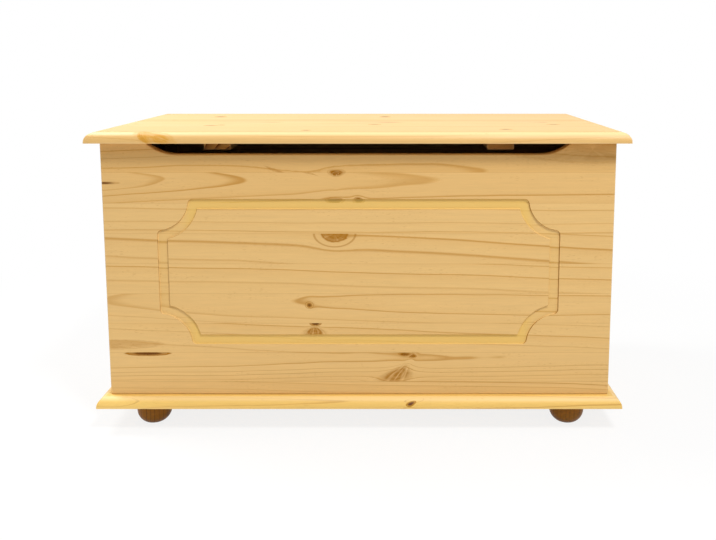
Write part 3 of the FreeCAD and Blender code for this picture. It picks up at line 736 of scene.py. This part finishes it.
@dataclass(frozen=True)
class PineFinish:
    """Clear satin lacquer on knotty pine."""

    early: Colour = srgb(225, 185, 122)
    late: Colour = srgb(188, 136, 60)
    band: Colour = srgb(208, 156, 78)
    pale: Colour = srgb(230, 193, 128)
    knot: Colour = srgb(162, 104, 6)
    pitch: Colour = srgb(96, 50, 4)
    end: Colour = srgb(186, 136, 74)
    end_share: float = 0.6
    end_rings: float = 0.3
    worn: Colour = srgb(238, 206, 150)
    groove: Colour = srgb(232, 192, 100)
    # Painted highlight on rounded mouldings: its colour, and how much of it is laid on.
    painted_highlight: Colour = srgb(248, 216, 160)
    highlight_share: float = 0.0
    roughness: float = 0.5
    gloss: float = 0.1
    relief: float = 0.06
    branch_bend: float = 0.05

    def dress(self, board: Board, effects: Effects) -> Material:
        """Finish one board.

        Args:
            board: Board that gets the finish.
            effects: Shared node groups.

        Returns:
            The board's material.
        """
        wood = Timber(board, effects)
        along, depth, layout = wood.along, wood.depth, wood.layout
        marks = wood.marks(self.branch_bend)
        bent = marks["across"] + depth
        cut = wood.cut()
        tone = cut.pop("tone")
        rings = wood.use(
            effects.growth_rings,
            along=along,
            across=bent - (wood.across - layout["local"]),
            depth=depth,
            seed=layout["stave"] + board.seed,
            **cut,
        )
        fibre = wood.use(effects.fibre, along=along, across=bent, depth=depth)
        colour: Feed = self.early
        for share, over in (
            (tone * 0.5, self.pale),
            # Staves of low tone are darker; on the front's top stave, under the lid, this is partly painted
            # shade.
            (wood.step(tone, 0.25, 0.0) * 0.28, self.band),
            (rings["band"] * 0.6, self.band),
            (rings["ring"] * 0.27, self.band),
            (rings["late"] * 0.85, self.late),
        ):
            colour = wood.lay(share, colour, over)
        streak = fibre["streak"].scale(0.84, 1.14)
        colour = wood.lay(1.0, colour, wood.join(streak, streak, streak), Blend.MULTIPLY)
        end = abs(wood.facing[0]).step(0.55, 0.95)
        for share, over in (
            *self._painted_highlight(wood),
            (fibre["dash"] * 0.5, self.knot),
            (marks["knot"] * 1.2, self.knot),
            (marks["pitch"], self.pitch),
            (layout["joint"] * 0.35, self.knot),
            (end * self.end_share, self.end),
            ((rings["dense"] * 1.1 + rings["late"]) * end * self.end_rings, self.pitch),
            *self._lacquer_and_painted_shade(wood),
            (wood.wear() * 0.3, self.worn),
        ):
            colour = wood.lay(share, colour, over)
        wood.set("Base Color", colour)
        rough = wood.handled(effects)["smear"].scale(-0.06, 0.06) + rings["late"] * -0.05
        wood.set("Roughness", rough + end.scale(self.roughness, self.roughness + 0.12))
        wood.set("Specular IOR Level", self.gloss)
        height = rings["late"] * 0.5 + fibre["streak"] * 0.8 - layout["joint"] * 0.6 - fibre["dash"] * 0.4
        wood.emboss(height, self.relief)
        return wood.material

    def _painted_highlight(self, wood: Timber) -> Iterator[Layer]:
        """Painted highlight on the part of a rounded moulding that faces partly upward, between its flat top
        and its upright edge.
        """
        if self.highlight_share:
            # Painted highlight where the moulding faces partly upward.
            yield wood.facing[2].step(0.55, 0.85) * wood.facing[2].step(0.998, 0.95) * self.highlight_share, self.painted_highlight

    def _lacquer_and_painted_shade(self, wood: Timber) -> Iterator[Layer]:
        """Lacquer that pools in a groove, and painted shade on the groove's walls that face down and to the
        left.

        Args:
            wood: Tree of the board, with or without a groove.

        Returns:
            How much of each colour is laid on.
        """
        run = wood.board.groove_run
        if not run:
            return
        deepest, soft_end = 7.0, 12.0
        shallow = wood.depth.step(deepest + 1.0, deepest - 1.0)
        level = abs(wood.along).step(run + soft_end, run - soft_end)
        yield wood.depth.step(0.4, 2.0) * shallow * level.scale(0.12, 0.62), self.groove
        # Painted shade: walls of the groove that face down and to the left get the knot colour, as if in
        # shadow.
        shaded_walls = wood.facing[0].least(wood.facing[1])
        yield shaded_walls.step(-0.2, -0.6) * shallow * wood.depth.step(0.1, 0.6) * 0.6, self.knot


class Pine(Enum):
    """Pine boards of the chest."""

    WALL = PineFinish()
    LID = PineFinish(
        early=srgb(224, 183, 116),
        pale=srgb(231, 194, 130),
        band=srgb(212, 162, 78),
        knot=srgb(204, 142, 2),
        highlight_share=0.7,
        gloss=0.55,
    )
    BASE = PineFinish(
        early=srgb(236, 194, 104),
        pale=srgb(240, 203, 117),
        band=srgb(220, 168, 72),
        knot=srgb(178, 122, 2),
        highlight_share=0.5,
        gloss=0.45,
    )
    BATTEN = PineFinish(end=srgb(185, 130, 57), end_share=0.85, end_rings=1.0, roughness=0.6)


@dataclass(frozen=True)
class TurnedFinish:
    """Turned wood, stained or raw, with faint marks of the lathe."""

    light: Colour
    dark: Colour
    roughness: float
    coat: float
    year: float
    gloss: float = 0.5
    coat_roughness: float = 0.18
    turning_gap: float = 0.9
    relief: float = 0.05

    def dress(self, name: str, grain: Grain, effects: Effects) -> Material:
        """Finish a turned piece.

        Args:
            name: Name of the material.
            grain: The way the grain runs, which is the piece's axis.
            effects: Shared node groups.

        Returns:
            The material.
        """
        paint = Paint(name)
        place = {way: paint.spot[axis] for way, axis in zip(("along", "across", "depth"), grain.value)}
        cut = asdict(Stave(12.0, 35.0, 2.0, 0.0, 1.0, self.year, 0.0, 0.6))
        del cut["tone"]
        rings = paint.use(effects.growth_rings, seed=9.0, **cut, **place)
        fibre = paint.use(effects.fibre, **place)
        colour = paint.lay(rings["late"] * 0.75, self.light, self.dark)
        paint.set("Base Color", paint.lay(fibre["streak"] * 0.5, colour, self.dark))
        smear = paint.handled(effects)["smear"]
        paint.set("Roughness", smear.scale(self.roughness - 0.08, self.roughness + 0.08))
        paint.set("Specular IOR Level", self.gloss)
        paint.set("Coat Weight", self.coat)
        paint.set("Coat Roughness", self.coat_roughness)
        turning = paint.noise((0.0, 0.0, place["along"]), (1.0, 1.0, self.turning_gap), 1.0)
        paint.emboss(turning + fibre["streak"] * 0.6, self.relief)
        return paint.material


class Turned(Enum):
    """Turned woods of the chest."""

    BUN = TurnedFinish(srgb(156, 102, 22), srgb(62, 33, 6), 0.42, 0.02, 7.0, gloss=0.15)
    DOWEL = TurnedFinish(srgb(214, 176, 132), srgb(178, 136, 94), 0.62, 0.0, 2.5)


@dataclass(frozen=True)
class MetalFinish:
    """Metal with handling marks, fine scratches and some tarnish."""

    bright: Colour
    dull: Colour
    roughness: float
    relief: float = 0.01

    def dress(self, name: str, effects: Effects) -> Material:
        """Finish a metal piece.

        Args:
            name: Name of the material.
            effects: Shared node groups.

        Returns:
            The material.
        """
        paint = Paint(name)
        marks = paint.handled(effects)
        brushed = paint.use(effects.fibre, **dict(zip(("along", "across", "depth"), paint.spot)))
        tarnish = marks["smear"].step(0.45, 0.75)
        paint.set("Base Color", paint.lay(tarnish * 0.7, self.bright, self.dull))
        paint.set("Metallic", 1.0)
        paint.set("Roughness", marks["scuff"].scale(-0.1, 0.1) + tarnish * 0.15 + self.roughness)
        paint.emboss(brushed["streak"] + marks["scuff"], self.relief)
        return paint.material


class Metal(Enum):
    """Metals of the fittings."""

    BRASS = MetalFinish(srgb(222, 186, 110), srgb(168, 126, 62), 0.27)
    ZINC = MetalFinish(srgb(200, 203, 206), srgb(150, 152, 156), 0.34)


def coat(node: str, material: Material) -> Object:
    """Give a CAD node one material.

    Args:
        node: Name of the node.
        material: Its finish.

    Returns:
        The node's object.
    """
    item = frame["nodes"][node]
    item.data.materials.clear()
    item.data.materials.append(material)
    return item


def add_object(name: str, data: ID) -> Object:
    """Put a new object into the scene.

    Args:
        name: Name of the object.
        data: Its mesh, lamp or camera.

    Returns:
        The object.
    """
    item = bpy.data.objects.new(name, data)
    bpy.context.scene.collection.objects.link(item)
    return item


def body_of(node: str) -> str:
    """Body of the record that a CAD node belongs to."""
    bodies = frame["record"]["behaviour"]["bodies"]
    return next(body for body, nodes in bodies.items() if node in nodes)


def slot_of(node: str) -> str:
    """Material slot of the record that a CAD node takes its finish from."""
    return next(part["material_slot"] for part in frame["record"]["subparts"] if part["node"] == node)


@dataclass(frozen=True)
class Seat:
    """Where one screw sits: the middle of its head, the way it points, and its sizes, in metres."""

    head: Vector
    way: Vector
    head_radius: float
    shank_radius: float
    length: float

    @classmethod
    def of(cls, points: Sequence[Vector]) -> "Seat":
        """Read a seat from a plain screw, whose wider end is its head.

        Args:
            points: Corner points of the plain screw.

        Returns:
            Its seat.
        """
        low = Vector(map(min, zip(*points)))
        high = Vector(map(max, zip(*points)))
        middle = (low + high) / 2
        axis = max(range(3), key=lambda index: high[index] - low[index])
        rest = [index for index in range(3) if index != axis]

        def radius(point: Vector) -> float:
            """Distance of a point from the screw's axis."""
            return math.hypot(*(point[index] - middle[index] for index in rest))

        widest = max(points, key=radius)
        turned = widest[axis] > middle[axis]
        head = middle.copy()
        head[axis] = high[axis] if turned else low[axis]
        way = Vector((0.0, 0.0, 0.0))
        way[axis] = -1.0 if turned else 1.0
        shank = max(radius(point) for point in points if (point - middle).dot(way) > 0)
        return cls(head, way, radius(widest), shank, high[axis] - low[axis])


def islands(node: str) -> Iterator[list[Vector]]:
    """Find the separate solids in a CAD node.

    Args:
        node: Name of the node.

    Returns:
        Corner points of each solid.
    """
    shape = bmesh.new()
    shape.from_mesh(frame["nodes"][node].data)
    bmesh.ops.remove_doubles(shape, verts=shape.verts, dist=0.01 * MILLIMETRE)
    for start in shape.verts:
        if start.tag:
            continue
        start.tag = True
        points, queue = [], [start]
        while queue:
            vertex = queue.pop()
            points.append(vertex.co.copy())
            others = [edge.other_vert(vertex) for edge in vertex.link_edges]
            for other in others:
                if not other.tag:
                    other.tag = True
                    queue.append(other)
        yield points
    shape.free()


@dataclass(frozen=True)
class Screw:
    """Countersunk wood screw with a cross recess; sizes are shares of the head's or the shank's radius."""

    sides: int = 20
    rim: float = 0.1
    recess_reach: float = 0.62
    recess_width: float = 0.14
    recess_depth: float = 0.5
    recess_floor: float = 0.5
    thread_root: float = 0.7
    thread_pitch: float = 1.1
    thread_rows: int = 4
    thread_flank: float = 2.4
    turn: float = 2.4
    smooth_angle: float = 35.0

    def build(self, node: str, material: Material) -> Object:
        """Put a screw in each seat of a CAD node and let them stand for the node.

        Args:
            node: Name of the node.
            material: Finish of the screws.

        Returns:
            The screws as one piece.
        """
        shape = bmesh.new()
        for number, points in enumerate(islands(node)):
            seat = Seat.of(points)
            facing = seat.way.to_track_quat("Z", "Y").to_matrix().to_4x4()
            spin = Matrix.Rotation(self.turn * number, 4, "Z")
            self._add(shape, seat, Matrix.Translation(seat.head) @ facing @ spin)
        bmesh.ops.recalc_face_normals(shape, faces=shape.faces)
        mesh = bpy.data.meshes.new(f"{node}_dressed")
        shape.to_mesh(mesh)
        shape.free()
        mesh.shade_smooth()
        mesh.set_sharp_from_angle(angle=math.radians(self.smooth_angle))
        mesh.materials.append(material)
        piece = add_object(mesh.name, mesh)
        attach(piece, body_of(node))
        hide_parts(node)
        slot_of(node)
        return piece

    def _add(self, shape: BMesh, seat: Seat, place: Matrix) -> None:
        """Add one screw to a mesh.

        Args:
            shape: Mesh under construction.
            seat: Sizes of the screw.
            place: Frame with its origin in the middle of the head and Z towards the point.
        """

        def corners(spots: Iterable[Vector]) -> list[BMVert]:
            """New corners at places in the screw's own frame."""
            return [shape.verts.new(place @ spot) for spot in spots]

        def ring(radii: Sequence[float], height: float) -> list[BMVert]:
            """Corners round the axis.

            Args:
                radii: Distance of each corner from the axis.
                height: Where along the axis they are.

            Returns:
                The corners.
            """
            step = 2 * math.pi / len(radii)
            spots = ((r * math.cos(i * step), r * math.sin(i * step), height) for i, r in enumerate(radii))
            return corners(map(Vector, spots))

        def skin(first: Sequence[BMVert], second: Sequence[BMVert]) -> None:
            """Faces between two closed runs of corners."""
            for index, corner in enumerate(first):
                shape.faces.new((first[index - 1], corner, second[index], second[index - 1]))

        top = ring([seat.head_radius] * self.sides, 0.0)
        mouth = corners(self._cross(seat, 1.0, 0.0))
        floor = corners(self._cross(seat, self.recess_floor, seat.head_radius * self.recess_depth))
        edges = [
            shape.edges.new((run[index - 1], corner))
            for run in (top, mouth)
            for index, corner in enumerate(run)
        ]
        bmesh.ops.triangle_fill(shape, use_beauty=True, edges=edges)
        skin(mouth, floor)
        shape.faces.new(floor)
        rows = [top, ring([seat.head_radius] * self.sides, seat.head_radius * self.rim)]
        cone_end = seat.head_radius * (1 + self.rim) - seat.shank_radius
        pitch = seat.shank_radius * self.thread_pitch
        tip_start = seat.length - 2 * seat.shank_radius
        total = round((tip_start - cone_end) / pitch * self.thread_rows)
        for row in range(total + 1):
            height = cone_end + (tip_start - cone_end) * row / total
            rows.append(ring([seat.shank_radius * share for share in self._thread(height / pitch)], height))
        for first, second in zip(rows, rows[1:]):
            skin(first, second)
        point = shape.verts.new(place @ Vector((0.0, 0.0, seat.length)))
        for index, corner in enumerate(rows[-1]):
            shape.faces.new((rows[-1][index - 1], corner, point))

    def _cross(self, seat: Seat, share: float, height: float) -> Iterator[Vector]:
        """Corners of the cross recess at one height.

        Args:
            seat: Sizes of the screw.
            share: Size of the cross there, as a share of its mouth.
            height: Depth below the head.

        Returns:
            The corners in order.
        """
        reach = seat.head_radius * self.recess_reach * share
        width = seat.head_radius * self.recess_width * math.sqrt(share)
        for quarter in range(4):
            turned = Matrix.Rotation(quarter * math.pi / 2, 3, "Z")
            for x, y in ((reach, -width), (reach, width), (width, width)):
                yield turned @ Vector((x, y, 0.0)) + Vector((0.0, 0.0, height))

    def _thread(self, turns: float) -> Iterator[float]:
        """Shape of the threaded shank at one height.

        Args:
            turns: Turns of the thread up to there.

        Returns:
            Radius at each side, as a share of the largest.
        """
        for side in range(self.sides):
            phase = (turns - side / self.sides) % 1.0
            ridge = max(0.0, 1 - self.thread_flank * abs(phase - 0.5))
            yield self.thread_root + (1 - self.thread_root) * ridge


FRONT_STAVES = (
    Stave(-60.0, 60.0, 1.0, 0.0, -1.0, 9.0, 0.5, 0.4),
    Stave(16.0, 28.5, 0.7, -0.05, 0.4, 5.0, 0.5, 0.3),
    Stave(-60.0, 60.0, 0.6, 0.0, -3.6, 14.0, 0.6, 0.2),
    Stave(10.0, 35.7, -1.63, 0.3, -1.0, 8.0, 0.5, 0.4),
    Stave(-70.0, 60.0, 0.4, 0.2, -2.6, 17.0, 0.6, 0.3),
    Stave(-50.0, 50.0, 1.0, 0.2, -4.6, 18.0, 0.5, 0.3),
    Stave(-90.0, 70.0, 0.2, 0.0, -0.4, 14.0, 0.6, 0.2),
    Stave(13.0, 45.3, 2.74, -0.35, 0.0, 8.0, 0.14, 0.3),
    # Top stave, under the lid: its lowest tone darkens it, partly its own colour and partly painted shade
    # under the lid.
    Stave(-30.0, 50.0, 1.5, 0.2, 3.0, 9.0, 0.0, 0.9),
)

FRONT_KNOTS = (
    Knot(-40.6, 343.6, 20.0, 13.0, 5, flow=1.7, body=0.72, halo=0.4),
    Knot(-84.9, 219.2, 4.0, 3.6, 3, flow=3.0, body=0.6, resin=0.7, halo=0.5),
    Knot(-74.7, 187.0, 9.0, 4.0, 2, flow=2.0, body=0.7, resin=1.0),
    Knot(-76.0, 174.0, 18.0, 13.0, 2, flare=-0.7, flow=1.2),
    Knot(-364.0, 133.4, 34.0, 4.0, 1, flow=2.4, resin=0.9),
    Knot(-364.0, 133.4, 34.0, 2.0, 2, flow=2.4, resin=0.9),
    Knot(-425.0, 149.0, 74.0, 8.0, 2, flare=0.15, flow=1.2, body=0.36),
    Knot(-428.0, 430.0, 26.0, 2.4, 7, flow=3.0, body=0.3, resin=0.9),
    Knot(-37.0, 447.0, 13.0, 6.0, 7, flare=0.3, flow=2.6, body=0.9, resin=0.3),
    Knot(-37.0, 447.0, 13.0, 6.0, 8, flare=0.3, flow=2.6, body=0.9, resin=0.3),
    Knot(-72.0, 473.0, 46.0, 15.0, 8, body=0.0),
    Knot(-112.0, 454.0, 9.0, 9.0, 8, lean=-4.0, flare=0.1, flow=0.4, body=0.45),
    Knot(-112.0, 454.0, 9.0, 9.0, 7, lean=-4.0, flare=0.1, flow=0.4, body=0.45),
    # Long faint brown mark along the top right of the top stave, under the lid: partly a brown band of the
    # wood, mostly painted shade deepening the lid's shadow there.
    Knot(390.0, 485.0, 130.0, 19.0, 8, flare=0.15, flow=0.3, body=0.3),
    Knot(-40.0, 397.5, 15.0, 7.0, 7, flare=0.2, flow=2.0, body=1.0, resin=0.8),
    Knot(0.0, 398.5, 9.0, 5.5, 7, flare=-0.2, flow=2.0, body=0.95, resin=0.7),
    Knot(78.0, 132.0, 10.0, 3.2, 1, flare=0.2, flow=2.0, body=0.9, resin=0.5),
    Knot(92.0, 129.5, 6.0, 3.2, 1, flare=-0.2, flow=2.0, body=0.9, resin=0.3),
    Knot(66.0, 96.0, 25.0, 17.0, 1, lean=0.8, flare=-0.55, flow=1.3, body=0.72),
)

BATTEN_STAVES = {
    "left": (Stave(34.0, 20.0, 0.4, 0.0, 0.6, 14.0, 0.5, 0.5),),
    "right": (Stave(-80.0, 40.0, 0.3, 0.0, 0.8, 70.0, 0.6, 0.3),),
}

LID_KNOTS = (
    Knot(-300.0, 131.0, 11.0, 10.0, 2, body=0.9, resin=0.8),
    Knot(-272.0, -86.0, 12.0, 5.0, -2, body=0.9, resin=0.8),
    Knot(-255.0, -78.0, 6.0, 5.0, -2, body=0.9, resin=0.6),
    Knot(-89.0, -184.0, 8.0, 5.0, -4, resin=0.8),
    Knot(41.0, 131.0, 10.0, 10.0, 2, body=0.9, resin=0.8),
    Knot(24.0, -65.0, 11.0, 5.0, -2, body=0.9, resin=0.7),
    Knot(251.0, -166.0, 10.0, 6.0, -4, resin=0.8),
    Knot(352.0, -65.0, 11.0, 5.0, -2, body=0.9, resin=0.8),
    Knot(-358.0, -236.0, 5.0, 16.0, -5, flare=0.1, body=0.9, resin=0.1),
    Knot(-336.0, -235.0, 26.0, 17.0, -5, lean=-0.4, flare=0.25, body=0.75),
)

BASE_STAVES = (Stave(-40.0, 30.0, 0.6, 0.0, -1.2, 7.0, 0.6, 0.85),)

BASE_KNOTS = (Knot(84.0, -236.0, 6.5, 6.0, -5, lean=1.3, body=0.9, resin=1.0),)


@dataclass
class Carcass:
    """Four walls on the moulded base board, with the dowels in their corners."""

    pine: PineFinish
    moulded: PineFinish
    stave_width: float = STAVE_WIDTH
    lowest_joint: float = 31.0
    base_joint: float = 7.0
    groove_run: float = 290.0

    def boards(self) -> Iterator[Board]:
        """List the boards of the carcass.

        Returns:
            The boards, with the way their grain runs.
        """
        upright = {"stave_width": self.stave_width, "shift": self.lowest_joint}
        yield Board(
            "front_panel",
            Grain.ACROSS_UPRIGHT_FRONT,
            Face.LOW,
            1.0,
            staves=FRONT_STAVES,
            knots=FRONT_KNOTS,
            scatter=0.0,
            groove_run=self.groove_run,
            **upright,
        )
        yield Board("back_panel", Grain.ACROSS_UPRIGHT_FRONT, Face.HIGH, 2.0, **upright)
        yield Board("left_panel", Grain.ACROSS_UPRIGHT_SIDE, Face.LOW, 3.0, **upright)
        yield Board("right_panel", Grain.ACROSS_UPRIGHT_SIDE, Face.HIGH, 4.0, **upright)
        yield Board(
            "base_board",
            Grain.ACROSS_LYING,
            Face.HIGH,
            5.0,
            shift=self.base_joint,
            staves=BASE_STAVES,
            knots=BASE_KNOTS,
            scatter=0.1,
        )

    def dress(self, effects: Effects) -> Iterator[str]:
        """Finish the boards.

        Args:
            effects: Shared node groups.

        Returns:
            Names of the finished pieces.
        """
        for board in self.boards():
            finish = self.moulded if board.grain is Grain.ACROSS_LYING else self.pine
            coat(board.node, finish.dress(board, effects))
            yield board.node
        coat("corner_dowels", Turned.DOWEL.value.dress("beech_dowel", Grain.ENDWISE_LYING, effects))
        yield "corner_dowels"


@dataclass
class Lid:
    """Moulded lid with the two battens that keep it flat."""

    moulded: PineFinish
    sanded: PineFinish
    first_joint: float = 7.0
    batten_stave: float = 120.0
    batten_starts: tuple[float, float] = (-300.0, 180.0)

    def dress(self, effects: Effects) -> Iterator[str]:
        """Finish the lid and its battens.

        Args:
            effects: Shared node groups.

        Returns:
            Names of the finished pieces.
        """
        lid = Board(
            "lid_panel",
            Grain.ACROSS_LYING,
            Face.HIGH,
            6.0,
            shift=self.first_joint,
            knots=LID_KNOTS,
            scatter=0.2,
        )
        coat(lid.node, self.moulded.dress(lid, effects))
        yield lid.node
        for seed, (side, start) in enumerate(zip(BATTEN_STAVES, self.batten_starts), start=11):
            batten = Board(
                f"lid_batten_{side}",
                Grain.ENDWISE_LYING,
                Face.LOW,
                float(seed),
                stave_width=self.batten_stave,
                shift=start,
                staves=BATTEN_STAVES[side],
                scatter=0.1,
            )
            coat(batten.node, self.sanded.dress(batten, effects))
            yield batten.node


@dataclass
class Feet:
    """Four turned bun feet."""

    stain: TurnedFinish

    def dress(self, effects: Effects) -> Iterator[str]:
        """Finish the feet.

        Args:
            effects: Shared node groups.

        Returns:
            Names of the finished pieces.
        """
        material = self.stain.dress("stained_foot", Grain.UPRIGHT, effects)
        for row in ("front", "back"):
            for side in ("left", "right"):
                yield coat(f"foot_{row}_{side}", material).name


@dataclass
class Fittings:
    """Hinges, stay and hidden hardware."""

    brass_nodes: tuple[str, ...] = tuple(
        f"hinge_{side}_{part}" for side in ("left", "right") for part in ("wall_leaf", "lid_leaf", "pin")
    ) + ("stay_arm", "stay_bracket", "stay_rivet", "stay_wall_plate", "stay_stud")
    zinc_nodes: tuple[str, ...] = ("foot_bolts", "foot_inserts")
    brass_screws: tuple[str, ...] = (
        "hinge_wall_screws",
        "hinge_lid_screws",
        "stay_lid_screws",
        "stay_wall_screws",
    )
    zinc_screws: tuple[str, ...] = ("base_screws", "batten_screws")

    def dress(self, effects: Effects) -> Iterator[str]:
        """Finish the metal pieces.

        Args:
            effects: Shared node groups.

        Returns:
            Names of the finished pieces.
        """
        brass = Metal.BRASS.value.dress("brass", effects)
        zinc = Metal.ZINC.value.dress("zinc", effects)
        for nodes, material in ((self.brass_nodes, brass), (self.zinc_nodes, zinc)):
            for node in nodes:
                yield coat(node, material).name
        for nodes, material in ((self.brass_screws, brass), (self.zinc_screws, zinc)):
            for node in nodes:
                yield Screw().build(node, material).name


@dataclass(frozen=True)
class Lamp:
    """Round soft lamp, in metres and watts."""

    name: str
    place: tuple[float, float, float]
    target: tuple[float, float, float]
    size: float
    power: float

    def build(self) -> None:
        """Hang the lamp and aim it."""
        data = bpy.data.lights.new(self.name, "AREA")
        data.shape = "DISK"
        data.size = self.size
        data.energy = self.power
        lamp = add_object(self.name, data)
        lamp.location = self.place
        aim = Vector(self.target) - Vector(self.place)
        lamp.rotation_euler = aim.to_track_quat("-Z", "Y").to_euler()


@dataclass
class Studio:
    """White studio: floor, light and camera."""

    camera_place: tuple[float, float, float] = (0.0585, -1.5383, 0.6377)
    camera_tilt: float = 7.45
    focal_pixels: float = 804.6
    centre_pixel: tuple[float, float] = (393.4, 163.0)
    sensor_width: float = 36.0
    floor_size: float = 12.0
    floor_grey: float = 0.9
    floor_glow: float = 0.84
    fade: tuple[float, float] = (650.0, 1300.0)
    sky: float = 0.36
    lamps: tuple[Lamp, ...] = (
        Lamp("front", (0.95, -1.55, 2.9), (0.0, -0.2, 0.3), 0.7, 70.0),
        Lamp("overhead", (-1.5, 0.4, 2.0), (-0.4, 0.0, 0.5), 1.0, 34.0),
    )

    def build(self) -> None:
        """Set up the studio."""
        self._camera()
        self._world()
        for lamp in self.lamps:
            lamp.build()
        self._floor()
        bpy.context.scene.view_settings.view_transform = "Standard"

    def _camera(self) -> None:
        """Camera with the photograph's place, tilt and framing."""
        data = bpy.data.cameras.new("camera")
        data.sensor_width = self.sensor_width
        data.lens = self.focal_pixels / IMAGE_WIDTH * self.sensor_width
        data.shift_x = (IMAGE_WIDTH / 2 - self.centre_pixel[0]) / IMAGE_WIDTH
        data.shift_y = (self.centre_pixel[1] - IMAGE_HEIGHT / 2) / IMAGE_WIDTH
        camera = add_object("camera", data)
        camera.location = self.camera_place
        camera.rotation_euler = (math.radians(90 - self.camera_tilt), 0, 0)
        bpy.context.scene.camera = camera

    @staticmethod
    def _seen(graph: Graph) -> Value:
        """One where a ray comes from the camera straight, or by way of a mirror or glass."""
        path = graph.results(graph.node("ShaderNodeLightPath"))
        return path["Is Camera Ray"].most(path["Is Glossy Ray"]).most(path["Is Transmission Ray"])

    def _world(self) -> None:
        """Soft light from all round, white where it is seen directly or mirrored."""
        world = bpy.data.worlds.new("studio")
        world.use_nodes = True
        bpy.context.scene.world = world
        graph = Graph(world.node_tree)
        background = world.node_tree.nodes["Background"]
        background.inputs["Color"].default_value = (1, 1, 1, 1)
        graph.feed(background.inputs["Strength"], self._seen(graph).scale(self.sky, 1.0))

    def _floor(self) -> None:
        """Pale floor that keeps the shadow and fades into the white background."""
        mesh = bpy.data.meshes.new("floor")
        shape = bmesh.new()
        bmesh.ops.create_grid(shape, x_segments=8, y_segments=8, size=self.floor_size / 2)
        shape.to_mesh(mesh)
        shape.free()
        floor = add_object("floor", mesh)
        paint = Paint("floor")
        paint.set("Base Color", (self.floor_grey, self.floor_grey, self.floor_grey, 1))
        paint.set("Roughness", 0.9)
        paint.set("Specular IOR Level", 0.0)
        far = paint.hypot(*paint.spot[:2]).step(*self.fade)
        glow = far.scale(self.floor_glow, 1.0) * self._seen(paint)
        white = paint.node("ShaderNodeEmission")
        blend = paint.fill(
            paint.node("ShaderNodeMixShader"), glow, paint.shader.outputs[0], white.outputs[0]
        )
        paint.feed(paint.tree.nodes["Material Output"].inputs[0], blend.outputs[0])
        mesh.materials.append(paint.material)
        floor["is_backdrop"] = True


def write_sizes() -> None:
    """Work out the CAD box and the box of the dressed object side by side, without keeping them."""
    boxes = {"cad": CAD_BOX, "visual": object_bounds()}
    {name: [list(corner) for corner in box] for name, box in boxes.items()}


def main() -> None:
    """Dress the chest, set up the studio and report each piece."""
    logging.basicConfig(level=logging.INFO, format="%(name)s: %(message)s")
    effects = Effects()
    assemblies = (
        Carcass(Pine.WALL.value, Pine.BASE.value),
        Lid(Pine.LID.value, Pine.BATTEN.value),
        Feet(Turned.BUN.value),
        Fittings(),
    )
    for assembly in assemblies:
        for piece in assembly.dress(effects):
            LOG.info("%s of the %s is dressed", piece, type(assembly).__name__.lower())
    Studio().build()
    write_sizes()


if __name__ == "__main__":
    main()
